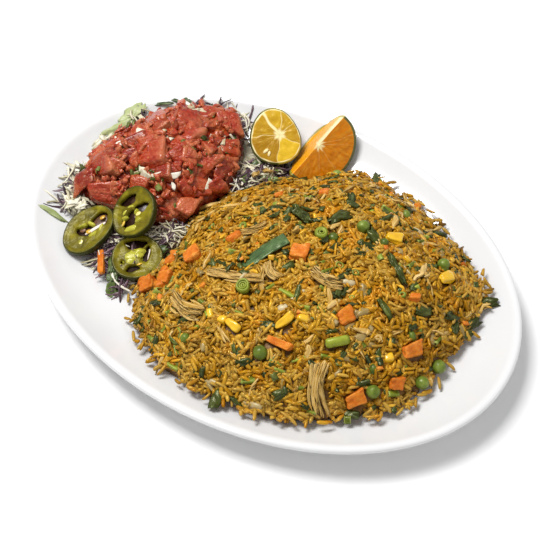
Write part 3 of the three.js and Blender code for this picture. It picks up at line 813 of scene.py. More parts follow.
def makeRice():
    look = riceLook
    rng = np.random.default_rng(look["seed"])
    length, width, thick = look["size"]
    shapes = [grainShape(length, width, thick, bend * mm) for bend, pale in look["kinds"]]
    for shape, (bend, pale) in zip(shapes, look["kinds"]):
        shape["mask"][:] = pale
    skirt, skirtReach = look["skirt"]
    x, y = riceRelief.sprinkle(int(look["grains"] * 1.25), rng, look["margin"])
    x, y = (np.append(*parts) for parts in zip(riceRelief.fringe(skirt, rng, skirtReach), (x, y)))
    count = len(x)
    heights, shares = zip(*look["layers"])
    height = np.array(heights)[rng.choice(len(heights), count, p=shares)] + rng.normal(0, 0.4 * mm, count)
    height[:skirt] = rng.uniform(0.2, 1.4, skirt) * mm
    yaw = planBumps(x, y, 15 * mm, 5) * 2.5 + rng.uniform(-1.5, 1.5, count)
    tilt = rng.normal(0, look["tilt"], count)
    roll = rng.uniform(-0.9, 0.9, count)
    fewer, shorter = look["broken"]
    broken = np.where(rng.uniform(size=count) < fewer, shorter, 1)
    long, wide, deep = (rng.normal(mean, stray, count) for mean, stray in zip((1, 0.97, 1), look["spread"]))
    scale = np.clip(xyz(long * broken, wide, deep), 0.5, 1.3)
    lift = height + riceLumps(x, y)
    centres, turns = layOn(riceRelief, x, y, lift, yaw, tilt, roll, scale, thick * 0.55)
    keep = clearOf(centres, turns, length * 0.42, 0.3, rng)
    chosen = np.flatnonzero(keep)[:look["grains"] + skirt]
    # painted shade: grains that lie deep or low on the heap are darker
    tint = 0.48 + 0.11 * height / (2 * mm) + 0.2 * planBumps(x, y, 20 * mm, 7) + rng.normal(0, 0.2, count)
    low = 1 - smoothStep(centres[:, 2] - platterHeight(x, y), 4 * mm, 20 * mm)
    tint = np.clip(tint - 0.17 * low, 0.02, 0.98)
    # and the paler shapes gather in drifts and towards its foot
    picks = 2.0 + 1.1 * low + 2.4 * planBumps(x, y, 13 * mm, 8) + rng.normal(0, 1.3, count)
    picks = np.clip(np.round(picks), 0, len(shapes) - 1).astype(int)
    for number in range(look["pieces"]):
        mine = chosen[number::look["pieces"]]
        batch = Batch()
        batch.scatter(shapes, picks[mine], turns[mine], centres[mine], tint[mine])
        batch.build(f"riceGrains{number + 1}", [finishes["rice"]], "rice", ["rice_mound"])


# What lies in and on the rice. Those listed one by one: x, y in mm, heading in degrees, length, width, tone.

mixLook = {
    "leaves": {
        "count": 170, "length": (5.8, 2.2), "width": (3.6, 1.2),
        "lift": 0.4 * mm, "tone": (0.26, 0.22), "seed": 21,
        "placed": [
            (-34, -73, 20, 9, 5, 0.2), (-8, -78, 60, 11, 6, 0.15), (-4, -36, 80, 9, 6, 0.12),
            (-5, 19, 30, 9, 6, 0.2), (-11, 13, 100, 8, 5, 0.15), (18, 13, 10, 8, 5, 0.3),
            (0, 52, 50, 8, 5, 0.3), (9, 68, 20, 8, 4, 0.4), (30, 56, 120, 10, 6, 0.12),
            (34, 52, 20, 8, 5, 0.2), (27, 96, 110, 12, 6, 0.35), (16, 77, 40, 8, 5, 0.3),
            (57, 55, 70, 9, 5, 0.15), (62, 34, 160, 13, 6, 0.4), (62, 27, 20, 12, 6, 0.12),
            (45, 12, 80, 9, 5, 0.15), (59, 17, 30, 9, 5, 0.1), (28, -17, 60, 9, 5, 0.4),
            (67, -12, 100, 8, 4, 0.1), (41, -82, 30, 11, 6, 0.15), (76, -61, 140, 8, 6, 0.12),
            (70, -84, 60, 12, 6, 0.3), (36, -107, -70, 13, 7, 0.35), (108, -67, 20, 10, 6, 0.15),
            (106, -51, 50, 8, 5, 0.2), (88, 78, 40, 10, 5, 0.12), (139, 31, 70, 12, 6, 0.1),
            (127, 23, 20, 10, 6, 0.15), (132, 20, 110, 9, 5, 0.2), (140, 51, 30, 12, 6, 0.25),
            (119, -33, 80, 7, 5, 0.3), (-38, 63, 40, 9, 5, 0.4), (112, -4, 60, 6, 4, 0.02),
            (106, -21, 20, 7, 5, 0.04), (41, -57, 30, 9, 5, 0.02),
        ],
    },
    "stalks": {
        "count": 70, "length": (5.4, 1.9), "width": (3.8, 0.9),
        "lift": 0.1 * mm, "tone": (0.42, 0.2), "seed": 22,
        "placed": [
            (-42, -68, 30, 12, 5, 0.75), (-26, -93, 0, 7, 6, 0.5), (-6, -23, 15, 12, 5, 0.55),
            (-20, -15, 60, 6, 4, 0.5), (54, 65, 20, 9, 5, 0.55), (39, -34, 0, 12, 5, 0.8),
            (27, -35, 70, 6, 4, 0.6), (53, -36, 20, 7, 5, 0.8), (69, -64, 50, 12, 6, 0.95),
            (57, -73, 10, 8, 5, 0.6), (48, -89, 40, 9, 6, 0.35), (86, -83, 10, 12, 5, 0.6),
            (128, 6, 80, 10, 5, 0.3), (124, -43, 30, 8, 5, 0.5), (100, 18, 60, 7, 5, 0.9),
            (-17, 7, 20, 10, 5, 0.6),
        ],
    },
    "rings": {
        "count": 3, "size": (4.6, 0.8), "lift": 0.1 * mm, "tone": (0.5, 0.16), "seed": 23,
        "placed": [
            (-17, -2, 6, 0.5), (25, -3, 5, 0.7), (55, 2, 5.5, 0.6), (66, 3, 5, 0.2), (97, 9, 5, 0.5),
            (84, 65, 5, 0.6),
        ],
    },
    "onion": {
        "count": 90, "length": (8.5, 2.8), "width": (4.6, 1.3),
        "lift": -0.3 * mm, "tone": (0.38, 0.2), "seed": 24,
        "placed": [
            (67, -5, 30, 9, 5, 0.9), (86, -14, 60, 15, 7, 0.4), (77, 66, 20, 8, 5, 0.8),
            (97, 39, 40, 9, 5, 0.9), (72, -33, 10, 8, 6, 0.6), (43, -44, 50, 6, 5, 0.9),
            (9, -38, 80, 7, 4, 0.7),
        ],
    },
    "meat": {
        "count": 85, "length": (12.5, 4.0), "width": (4.6, 1.3),
        "lift": -0.3 * mm, "tone": (0.5, 0.2), "seed": 25,
    },
    "carrots": {
        "count": 18, "length": (4.6, 1.4), "width": (3.0, 0.8),
        "lift": -0.4 * mm, "tone": (0.5, 0.2), "seed": 26,
        "placed": [
            (11.6, 52.5, 20, 7, 6, 0.5), (-16.5, -12.5, 70, 10, 5, 0.4), (104, 13, 30, 7, 4, 0.5),
            (-45, -44, 40, 7, 5, 0.5), (-52, -32, 10, 6, 4.5, 0.6), (-41, -61, 60, 8, 6, 0.4),
            (-58, -60, 20, 7, 5, 0.5), (-44, -52, 90, 6, 5, 0.4),
        ],
    },
    "corn": {
        "count": 5, "length": (5.6, 0.8), "width": (4.0, 0.5),
        "lift": -0.5 * mm, "tone": (0.4, 0.2), "seed": 27,
        "placed": [(57, -43, 20, 8, 4.5, 0.6), (111, -29, 50, 6, 5, 0.5)],
    },
    "peas": {"count": 6, "size": (6.2, 0.6), "lift": -0.8 * mm, "tone": (0.4, 0.2), "seed": 28,
             "placed": [(39, 20, 7, 0.2), (106, 49, 7, 0.3)]},
    "crumbs": {
        "count": 1050, "length": (4.6, 1.5), "width": (3.3, 0.9),
        "lift": -1.7 * mm, "tone": (0.52, 0.22), "seed": 30,
    },
    "darkBits": {
        "count": 40, "length": (4.5, 1.6), "width": (2.8, 0.8),
        "lift": 0.2 * mm, "tone": (0.4, 0.3), "seed": 29,
    },
}

finishes = {
    "rice": foodFinish("seasonedRice", {
        "tones": ((0.1, 0.038, 0.001), (0.36, 0.165, 0.004), (0.74, 0.41, 0.028)),
        "cloud": (260, 0.6), "grain": 1400, "gloss": (0.14, 0.38),
        "streaks": (1500, 160, 2.5, 0.2, (0.22, 0.09, 0.006)),
        "stain": (70, 0.5, (0.62, 0.215, 0.003)),
        "edge": ((0.52, 0.33, 0.065), 0.1, 1.5),
        "bump": (0.4, 0.3 * mm),
        "shine": (0.5, (1, 0.72, 0.24)),
        "shader": {
            "Subsurface Weight": 0.15, "Subsurface Radius": (0.8, 0.5, 0.1), "Subsurface Scale": 1.2 * mm},
    }),
    "leaf": foodFinish("choppedLeaf", {
        "tones": ((0.01, 0.013, 0.001), (0.046, 0.056, 0.005), (0.2, 0.22, 0.045)),
        "cloud": (320, 0.8), "grain": 1500, "gloss": (0.12, 0.4),
        "streaks": (900, 90, 3, 0.35, (0.22, 0.28, 0.11)),
        "bump": (0.6, 0.4 * mm),
        "shine": (0.35, (1, 1, 0.6)),
    }),
    "leek": foodFinish("leek", {
        "tones": ((0.01, 0.026, 0.008), (0.042, 0.086, 0.026), (0.15, 0.23, 0.085)),
        "cloud": (260, 1.0), "grain": 1500, "gloss": (0.12, 0.4),
        "streaks": (1300, 50, 2, 0.4, (0.19, 0.28, 0.12)),
        "bump": (0.6, 0.4 * mm),
        "shine": (0.35, (1, 1, 0.7)),
    }),
    "stalk": foodFinish("scallion", {
        "tones": ((0.045, 0.058, 0.004), (0.135, 0.17, 0.01), (0.34, 0.39, 0.04)),
        "cloud": (320, 0.6), "grain": 1500, "gloss": (0.2, 0.42),
        "streaks": (1500, 60, 2, 0.3, (0.27, 0.31, 0.06)),
        "edge": ((0.36, 0.4, 0.09), 0.6, 1.1),
        "bump": (0.3, 0.25 * mm),
        "shine": (0.35, (1, 1, 0.55)),
    }),
    "onion": foodFinish("cookedOnion", {
        "tones": ((0.19, 0.115, 0.025), (0.33, 0.23, 0.075), (0.62, 0.52, 0.32)),
        "cloud": (280, 0.6), "grain": 1500, "gloss": (0.2, 0.4),
        "streaks": (1000, 60, 2, 0.35, (0.52, 0.42, 0.22)),
        "bump": (0.3, 0.3 * mm),
        "shine": (0.4, (1, 0.95, 0.8)),
    }),
    "meat": foodFinish("pulledChicken", {
        "tones": ((0.28, 0.14, 0.018), (0.51, 0.31, 0.07), (0.72, 0.5, 0.18)),
        "cloud": (280, 0.9), "grain": 1200, "gloss": (0.3, 0.55),
        "streaks": (1000, 110, 2, 0.3, (0.42, 0.23, 0.04)),
        "stain": (150, 0.4, (0.56, 0.29, 0.02)),
        "edge": ((0.76, 0.55, 0.24), 0.5, 1.1),
        "bump": (0.3, 0.25 * mm),
        "shine": (0.3, (1, 0.9, 0.7)),
    }),
    "carrot": foodFinish("carrot", {
        "tones": ((0.33, 0.06, 0.003), (0.61, 0.145, 0.012), (0.8, 0.32, 0.055)),
        "cloud": (300, 1.2), "grain": 1300, "gloss": (0.2, 0.45),
        "streaks": (500, 170, 2, 0.45, (0.72, 0.3, 0.05)),
        "stain": (150, 0.4, (0.58, 0.2, 0.006)),
        "bump": (1.0, 0.7 * mm),
        "shine": (0.3, (1, 0.8, 0.5)),
    }),
    "corn": foodFinish("corn", {
        "tones": ((0.56, 0.27, 0.006), (0.76, 0.44, 0.01), (0.86, 0.6, 0.05)),
        "cloud": (200, 0.4), "grain": 1000, "gloss": (0.16, 0.34),
        "bump": (0.25, 0.25 * mm),
        "shine": (0.5, (1, 1, 1)),
        "shader": {"Coat Weight": 0.4, "Coat Roughness": 0.1},
    }),
    "pea": foodFinish("pea", {
        "tones": ((0.04, 0.06, 0.005), (0.125, 0.178, 0.018), (0.29, 0.35, 0.075)),
        "cloud": (300, 1.0), "grain": 1100, "gloss": (0.26, 0.45),
        "bump": (0.5, 0.4 * mm),
        "shine": (0.4, (1, 1, 0.7)),
    }),
}


# Random copies of one kind of scrap, clear of the larger pieces, and listed ones.
def layMix(batch, look, shapes):
    rng = np.random.default_rng(look["seed"])
    hand = np.array(look.get("placed", np.zeros((0, 6)))) * (mm, mm, math.pi / 180, 1, 1, 1)
    x, y = riceRelief.sprinkle(look["count"] * 2, rng, 2 * mm)
    lengths, widths = (
        np.clip(rng.normal(*look[key], len(x)), look[key][0] * least, look[key][0] * most)
        for key, least, most in (("length", 0.5, 1.9), ("width", 0.6, 1.5)))
    yaw = rng.uniform(-math.pi, math.pi, len(x))
    loose = [x, y, yaw, lengths, widths, rng.normal(*look["tone"], len(x))]
    x, y, yaw, lengths, widths, tone = np.hstack([hand.T, loose])
    hands, count = len(hand), len(x)
    lift = look["lift"] + riceLumps(x, y) + rng.normal(0, 0.5 * mm, count)
    lift[:hands] += 0.6 * mm
    thick = rng.uniform(0.85, 1.2, count)
    scale = xyz(lengths, widths, np.sqrt(lengths * widths) * thick) * mm
    tilt, roll = rng.normal(0, 0.22, count), rng.normal(0, 0.308, count)
    centres, turns = layOn(riceRelief, x, y, lift, yaw, tilt, roll, scale, 0.8 * mm)
    keep = clearOf(centres, turns, 0.4, 0.0, rng)
    keep[:hands] = True
    chosen = np.flatnonzero(keep)[:look["count"] + hands]
    picks = rng.integers(0, len(shapes), count)[chosen]
    batch.scatter(shapes, picks, turns[chosen], centres[chosen], tone[chosen].clip(0.02, 0.98))


# Round scraps have no heading, and one size in place of a length and a width.
def roundMix(look):
    sizes = [(x, y, 0, size, size, tone) for x, y, size, tone in look["placed"]]
    return {**look, "length": look["size"], "width": look["size"], "placed": sizes}


def makeMix():
    look = mixLook
    leaf = [flakeShape(1, 1, 0.09, 0.12 * (k % 3 - 0.5), 0.14, 0.5, 30 + k, (7, 5), 0.25) for k in range(8)]
    curl = [flakeShape(1, 1, 0.13, 0.02, 0.62 + 0.1 * k, 0.08, 40 + k, (5, 7), 0.08) for k in range(4)]
    ring = [ringShape(0.5, 0.24 + 0.05 * k, 0.42, 16, 0.12 * k, k) for k in range(3)]
    onion = [flakeShape(1, 1, 0.14, 0.12, 0.25, 0.22, 60 + k, (7, 4), 0.35) for k in range(4)]
    block = [blockShape((1, 1, 0.8), 0.4, (0.15 * (k - 1), 0.1), 0.08, 70 + k) for k in range(4)]
    kernel = [blockShape((1, 1, 0.85), 0.75, (0.05, 0.05), 0.05, 80 + k, 5, 0.16) for k in range(3)]
    pea = [lumpShape((1, 1, 0.94), 0.07, 90 + k, 8, 14) for k in range(3)]
    crumb = [lumpShape((1, 1, 0.8), 0.5, 86 + k, 4, 7, 0.7) for k in range(6)]
    shred = [
        tornShape([(-0.5, 0, 0), (-0.2, 0.3 * bend, 0.06), (0.15, -0.2 * bend, 0.08), (0.5, 0.5 * bend, 0)],
                  0.8, 0.26, 95 + k, (8, 8))
        for k, bend in enumerate((-0.9, -0.4, 0.2, 0.5, 0.9))]
    kinds = [
        ("riceCrumbs", look["crumbs"], crumb, "rice", "rice"),
        ("choppedLeaves", look["leaves"], leaf, "leaf", "leaf"),
        ("darkBits", look["darkBits"], leaf, "leaf", "leaf"),
        ("choppedScallion", look["stalks"], curl, "stalk", "scallion"),
        ("scallionRings", roundMix(look["rings"]), ring, "stalk", "scallion"),
        ("onionFlakes", look["onion"], onion, "onion", "rice"),
        ("chickenShreds", look["meat"], shred, "meat", "chicken"),
        ("carrotBits", look["carrots"], block, "carrot", "carrot"),
        ("cornKernels", look["corn"], kernel, "corn", "corn"),
        ("smallPeas", roundMix(look["peas"]), pea, "pea", "pea"),
    ]
    for name, kind, shapes, finish, slot in kinds:
        batch = Batch()
        layMix(batch, kind, shapes)
        batch.build(name, [finishes[finish]], slot, ["rice_mound"])


makeRiceCore()
makeRice()
makeMix()


# The larger pieces on the rice, one for each node of the frame. What a look leaves out has a usual value.

toppingLook = {
    "leek_leaf": {"finish": "leek", "tone": 0.5, "curl": 0.05, "cup": 0.08,
                  "ragged": 0.05, "taper": 0.05, "wide": 1.05},
    "dark_leaf_back": {"tone": 0.24, "ragged": 0.45, "crumple": 2.0},
    "dark_leaf_left": {"tone": 0.24, "ragged": 0.45, "crumple": 2.0},
    "dark_leaf_right": {"tone": 0.32, "ragged": 0.3, "crumple": 1.4},
    "scallion_blade": {"tone": 0.42, "ragged": 0.12, "wide": 0.75},
    "pea_back": {"tone": 0.5},
    "pea_front": {"tone": 0.35},
    "carrot_low_right": {"tone": 0.35},
    "scallion_round": {"tone": 0.62, "inner": [(0.5, 0.34), (0.31, 0.2), (0.17, 0.06)]},
    "scallion_tube": {"tone": 0.82},
    "corn_left": {"wide": 0.62},
    "corn_middle": {"wide": 0.7},
}


def camelCase(name):
    first, *rest = name.split("_")
    return first + "".join(word.capitalize() for word in rest)


# The line down the middle of a long node.
def centreLine(name):
    points = nodeMesh(name)[0]
    centre, axes, sizes = nodeAxes(name)
    along = (points - centre) @ axes[:, 0]
    edges = np.linspace(along.min(), along.max(), 10)
    line = [points[along.argmin()]]
    for low, high in zip(edges[:-1], edges[1:]):
        near = (along >= low - sizes[0] * 0.03) & (along <= high + sizes[0] * 0.03)
        if near.any():
            line.append(points[near].mean(0))
    return np.array([*line, points[along.argmax()]])


def addLeaf(batch, name, look, seed):
    centre, axes, sizes = nodeAxes(name)
    curl, cup = look.get("curl", 0.08), look.get("cup", 0.14)
    length, width = sizes[0] * 0.98, sizes[1] * look.get("wide", 0.95)
    shape = flakeShape(
        length, width, 0.8 * mm, curl, cup, look.get("ragged", 0.14), seed, (30, 12), look.get("taper", 0.4))
    shape["points"][:, 2] += look.get("crumple", 0.6) * mm * bumps(shape["points"], 5 * mm, seed)
    lift = (curl * sizes[0] + cup * sizes[1]) * 0.4 - 0.6 * mm
    tone = look.get("tone", 0.3) + 0.3 * bumps(shape["points"], 4 * mm, seed)
    batch.add(shape, axes, centre + axes[:, 2] * lift, tone)


# Rings one inside the next. A plain slice has a second, looser skin inside the first.
def addRings(batch, name, look, seed):
    centre, axes, sizes = nodeAxes(name, upright=True)
    radius, height, tone = sizes[:2].mean() / 2, sizes[2], look.get("tone", 0.6)
    layers = look.get("inner", [(0.5, 0.26)])
    for number, (wide, bore) in enumerate(layers):
        rise = height * (1 - 0.07 * number) * 0.96
        shape = ringShape(radius * 2 * wide, radius * 2 * bore, rise, 36, 0.0, seed + number)
        batch.add(shape, axes, centre, tone + 0.1 * number)
    if "inner" not in look:
        shape = ringShape(radius * 0.5, radius * 0.3, height * 0.9, 28, 0.15, seed)
        batch.add(shape, axes, centre + axes[:, 0] * radius * 0.1, tone + 0.15)


# Three strips of meat side by side, then thinner ones that stray.
def addShreds(batch, name, look, seed):
    axes, sizes = nodeAxes(name)[1:]
    line = centreLine(name)
    rng = np.random.default_rng(seed)
    for number in range(15):
        main = number < 3
        aside = (number - 1) * 0.26 if main else rng.uniform(-0.55, 0.55)
        start = rng.uniform(0, 0.12 if main else 0.5)
        end = start + (rng.uniform(0.8, 0.9) if main else rng.uniform(0.3, 0.5))
        share = np.linspace(start, min(end, 1), 9)
        strip = xyz(*(np.interp(share, np.linspace(0, 1, len(line)), axis) for axis in line.T))
        strip += axes[:, 1] * (aside + 0.1 * np.sin(share * 7 + number)[:, None]) * sizes[1]
        strip += axes[:, 2] * (rng.uniform(-0.1, 0.2) * sizes[2] - 0.6 * mm)
        width = sizes[1] * (0.5 if main else rng.uniform(0.12, 0.24))
        thick = sizes[2] * (0.45 if main else 0.25)
        steps = (20, 18) if main else (11, 6)
        shape = tornShape(strip, width, thick, seed * 10 + number, steps, axes[:, 2])
        shape["points"] += axes[:, 2] * (0.5 * mm * bumps(shape["points"], 4 * mm, seed + number))[:, None]
        batch.add(shape, tint=look.get("tone", 0.5) + rng.uniform(-0.2, 0.2))


# A pea, a kernel of corn or a cube of carrot.
def addSolid(batch, name, look, seed, kind):
    centre, axes, sizes = nodeAxes(name, upright=kind == "pea")
    if kind == "pea":
        shape = lumpShape(sizes, 0.05, seed, 14, 24, 0.6)
    elif kind == "corn":
        sizes = sizes * [0.94, look.get("wide", 0.85), 0.9]
        shape = blockShape(sizes, 0.8, (0.1, 0.08), 0.18, seed, 10, 0.25)
    else:
        shape = blockShape(sizes * [0.88, 0.84, 0.85], 0.28, (0.14, 0.12), 0.12, seed, 13, 0.14)
        shape["points"] *= 1 + 0.07 * bumps(shape["points"], 1.7 * mm, seed)[:, None]
    tone = look.get("tone", 0.5) + 0.25 * bumps(shape["points"], 4 * mm, seed)
    batch.add(shape, axes, centre - axes[:, 2] * 0.8 * mm, tone)


def makeToppings():
    pieces = [(slot, name) for slot, names in toppingNodes.items() for name in names]
    for seed, (slot, name) in enumerate(pieces, 201):
        look = toppingLook.get(name, {})
        batch = Batch()
        finish = slot
        if name in ("scallion_round", "scallion_slice", "scallion_tube"):
            addRings(batch, name, look, seed)
            finish = "stalk"
        elif slot in ("leaf", "scallion"):
            addLeaf(batch, name, look, seed)
            finish = look.get("finish", "leaf")
        elif slot == "chicken":
            addShreds(batch, name, look, seed)
            finish = "meat"
        else:
            addSolid(batch, name, look, seed, slot)
        batch.build(camelCase(name), [finishes[finish]], slot, [name])


makeToppings()


# Salsa of diced tomato on the bed.

salsaLook = {
    "core": (3.4 * mm, 0.8 * mm, 8 * mm, 5),  # how deep, how lumpy, how wide the lumps are, and their seed
    "waves": (1.5 * mm, 13 * mm),  # how far the top swells, and how wide the swells are
    "tries": 2600,
    "spacing": 6.5 * mm,
    "margin": 8.0 * mm,
    "layers": [(-3.2 * mm, 0.95), (-0.4 * mm, 0.8)],  # how high, and how many of the places are filled
    "dice": (11.5, 3.4),
    "bits": 240,
    "seed": 41,
    "placed": [  # x, y, heading, length, width, height, tone
        (-133, -7, 30, 21, 16, 8, 0.3), (-123, -20, 20, 21, 14, 8, 0.45), (-139, 13, 60, 13, 12, 8, 0.62),
        (-116, 24, 80, 15, 13, 8, 0.58), (-122, 42, 50, 16, 14, 8, 0.4), (-104, 54, 30, 18, 13, 8, 0.35),
        (-105, 14, 35, 24, 17, 8, 0.52), (-124, -4, 70, 12, 10, 8, 0.3), (-88, 26, 60, 17, 12, 8, 0.36),
        (-96, 42, 10, 18, 12, 8, 0.42), (-85, 76, 30, 19, 14, 8, 0.42), (-100, 72, 80, 15, 12, 8, 0.34),
        (-69, 2, 20, 14, 12, 9, 0.97), (-74, -18, 50, 13, 10, 9, 0.1), (-66, 44, 120, 16, 12, 8, 0.38),
        (-72, 58, 40, 14, 11, 8, 0.5), (-100, -6, 100, 15, 11, 8, 0.48), (-62, 28, 60, 13, 10, 8, 0.3),
    ],
    "onion": [  # x, y, heading, length, width
        (-92, 29, 30, 9, 6), (-100, 0, 70, 9, 6), (-118, 44, 10, 8, 5), (-76, 52, 50, 8, 5),
        (-66, 24, 110, 8, 5), (-131, 12, 20, 7, 5), (-112, 66, 80, 7, 4), (-84, 9, 40, 7, 5),
        (-57, 49, 150, 8, 5), (-104, 33, 0, 6, 4),
    ],
    "onions": 20,
    "herbs": 46,
    "leaves": [  # x, y, size
        (-127, 3, 8), (-130, 19, 7), (-111, 5, 8), (-107, 0, 7), (-150, 3, 8), (-134, 30, 7), (-106, 30, 6),
        (-93, 26, 7), (-105, 57, 6), (-85, 72, 6), (-72, 43, 7), (-79, 22, 7), (-140, 26, 6), (-116, 62, 6),
    ],
}


# Picks points that lie no closer together than the spacing.
def spreadOut(x, y, spacing):
    kept = []
    points = xyz(x, y, 0)
    for i, point in enumerate(points):
        if not kept or ((points[kept] - point) ** 2).sum(1).min() > spacing ** 2:
            kept.append(i)
    return np.array(kept)


salsaFinish = foodFinish("dicedTomato", {
    "tones": ((0.18, 0.005, 0.001), (0.345, 0.021, 0.004), (0.49, 0.115, 0.042)),
    "cloud": (430, 1.4), "grain": 520, "gloss": (0.12, 0.42),
    "streaks": (330, 130, 1.8, 0.4, (0.48, 0.14, 0.06)),
    "specks": (190, 0.17, 0.6, (0.56, 0.34, 0.09)),
    "stain": (90, 0.5, (0.34, 0.06, 0.004)),
    "edge": ((0.46, 0.13, 0.05), 0.72, 1.1),
    "bump": (1.0, 1.5 * mm),
    "shine": (0.4, (1, 0.8, 0.7)),
    "shader": {
        "Coat Weight": 0.3, "Coat Roughness": 0.08,
        "Subsurface Weight": 0.12, "Subsurface Radius": (0.8, 0.25, 0.12), "Subsurface Scale": 3 * mm},
})
rawOnion = foodFinish("rawOnion", {
    "tones": ((0.42, 0.32, 0.17), (0.66, 0.6, 0.42), (0.86, 0.83, 0.73)),
    "cloud": (300, 0.9), "grain": 1100, "gloss": (0.14, 0.34),
    "streaks": (900, 90, 2, 0.3, (0.86, 0.84, 0.76)),
    "bump": (0.4, 0.4 * mm),
    "shine": (0.45, (1, 0.97, 0.88)),
})


def makeSalsa():
    look = salsaLook
    relief = Relief("tomato_salsa", blur=3)
    rng = np.random.default_rng(look["seed"])
    swell, wide = look["waves"]

    def lifts(x, y, height, spread):
        return height + swell * planBumps(x, y, wide, 4) + rng.normal(0, spread, len(x))

    batch = Batch()
    batch.add(relief.core(*look["core"]), tint=0.1)
    shears = [(0.35 * (k % 3 - 1), 0.3 * (k % 2)) for k in range(8)]
    dice = [
        blockShape((1, 1, 1), 0.12 + 0.08 * (k % 3), shear, 0.16, 110 + k, 6, 0.25)
        for k, shear in enumerate(shears)]
    for height, share in look["layers"]:
        x, y = relief.sprinkle(look["tries"], rng, look["margin"])
        chosen = spreadOut(x, y, look["spacing"])
        chosen = chosen[rng.uniform(size=len(chosen)) < share]
        x, y, count = x[chosen], y[chosen], len(chosen)
        lift = lifts(x, y, height, 0.9 * mm)
        size = np.clip(rng.normal(*look["dice"], count), 6, 18)
        scale = xyz(size, size * rng.uniform(0.5, 0.95, count), rng.uniform(4, 7, count)) * mm
        yaw = rng.uniform(-math.pi, math.pi, count)
        lean = rng.normal(0, 0.26, (2, count))
        tone = np.clip(0.44 + 0.15 * planBumps(x, y, 20 * mm, 6) + rng.normal(0, 0.33, count), 0.03, 0.95)
        strew(batch, dice, relief, x, y, lift, yaw, lean, scale, rng.integers(0, len(dice), count), tone)
    hand = np.array(look["placed"], float)
    count = len(hand)
    lean = rng.normal(0, 0.15, (2, count))
    strew(
        batch, dice, relief, *hand[:, :2].T * mm, np.full(count, 0.4 * mm), np.radians(hand[:, 2]), lean,
        hand[:, 3:6] * mm, rng.integers(0, len(dice), count), hand[:, 6])
    crumbs = [blockShape((1, 1, 1), 0.3, (0.3 * (k % 3 - 1), 0.2), 0.4, 120 + k, 3, 0.2) for k in range(5)]
    x, y = relief.sprinkle(look["bits"], rng, 6 * mm)
    count = len(x)
    lift = lifts(x, y, 2.6 * mm, 0.8 * mm)
    scale = rng.uniform((2.5, 2.0, 1.6), (7, 4.5, 3), (count, 3)) * mm
    lean = rng.normal(0, 0.5, (2, count))
    strew(
        batch, crumbs, relief, x, y, lift, rng.uniform(-3, 3, count), lean, scale,
        rng.integers(0, len(crumbs), count), rng.uniform(0.3, 1, count))
    batch.build("dicedTomato", [salsaFinish], "tomato", ["tomato_salsa"])

    onion = Batch()
    hand, loose = np.array(look["onion"], float), look["onions"]
    x, y = (np.append(*parts) for parts in zip(hand[:, :2].T * mm, relief.sprinkle(loose, rng, 7 * mm)))
    count = len(x)
    yaw = np.append(np.radians(hand[:, 2]), rng.uniform(-math.pi, math.pi, loose))
    lengths = np.append(hand[:, 3], rng.normal(6, 1.6, loose)) * mm
    widths = np.append(hand[:, 4] * 0.85, rng.normal(3.0, 0.6, loose)) * mm
    lift = lifts(x, y, 2.6 * mm, 0.9 * mm)
    lean = rng.normal(0, 0.35, (2, count))
    tone = np.clip(rng.normal(0.5, 0.22, count), 0.1, 0.9)
    cuts = [blockShape((1, 1, 0.8), 0.25, (0.4 * (k % 2), 0.15 * k), 0.25, 130 + k, 5, 0.3) for k in range(5)]
    scale = xyz(lengths, widths, 1.6 * mm)
    strew(onion, cuts, relief, x, y, lift, yaw, lean, scale, rng.integers(0, len(cuts), count), tone)
    onion.build("dicedOnion", [rawOnion], "tomato", ["tomato_salsa"])

    herbs = Batch()
    hand = np.array(look["leaves"], float) * mm
    x, y = (np.append(*parts) for parts in zip(hand[:, :2].T, relief.sprinkle(look["herbs"], rng, 6 * mm)))
    count = len(x)
    lift = lifts(x, y, 3.2 * mm, 1 * mm)
    size = rng.uniform(2.5, 7, (2, count)) * mm
    size[:, :len(hand)] = hand[:, 2] * ((1,), (0.7,))
    lean = rng.normal(0, 0.4, (2, count))
    yaw = rng.uniform(-math.pi, math.pi, count)
    leaf = [flakeShape(1, 0.7, 0.1, 0.12, 0.15, 0.55, 140 + k, (8, 5), 0.3) for k in range(6)]
    strew(
        herbs, leaf, relief, x, y, lift, yaw, lean, xyz(size.max(0), size.min(0), size.max(0)),
        rng.integers(0, len(leaf), count), np.clip(rng.normal(0.56, 0.2, count), 0.05, 0.9))
    herbs.build("choppedHerbs", [finishes["leaf"]], "leaf", ["tomato_salsa"])
    return relief


salsaRelief = makeSalsa()


# The bed: shredded white and purple cabbage, with lettuce, dark leaves, chicken and a stick of carrot.

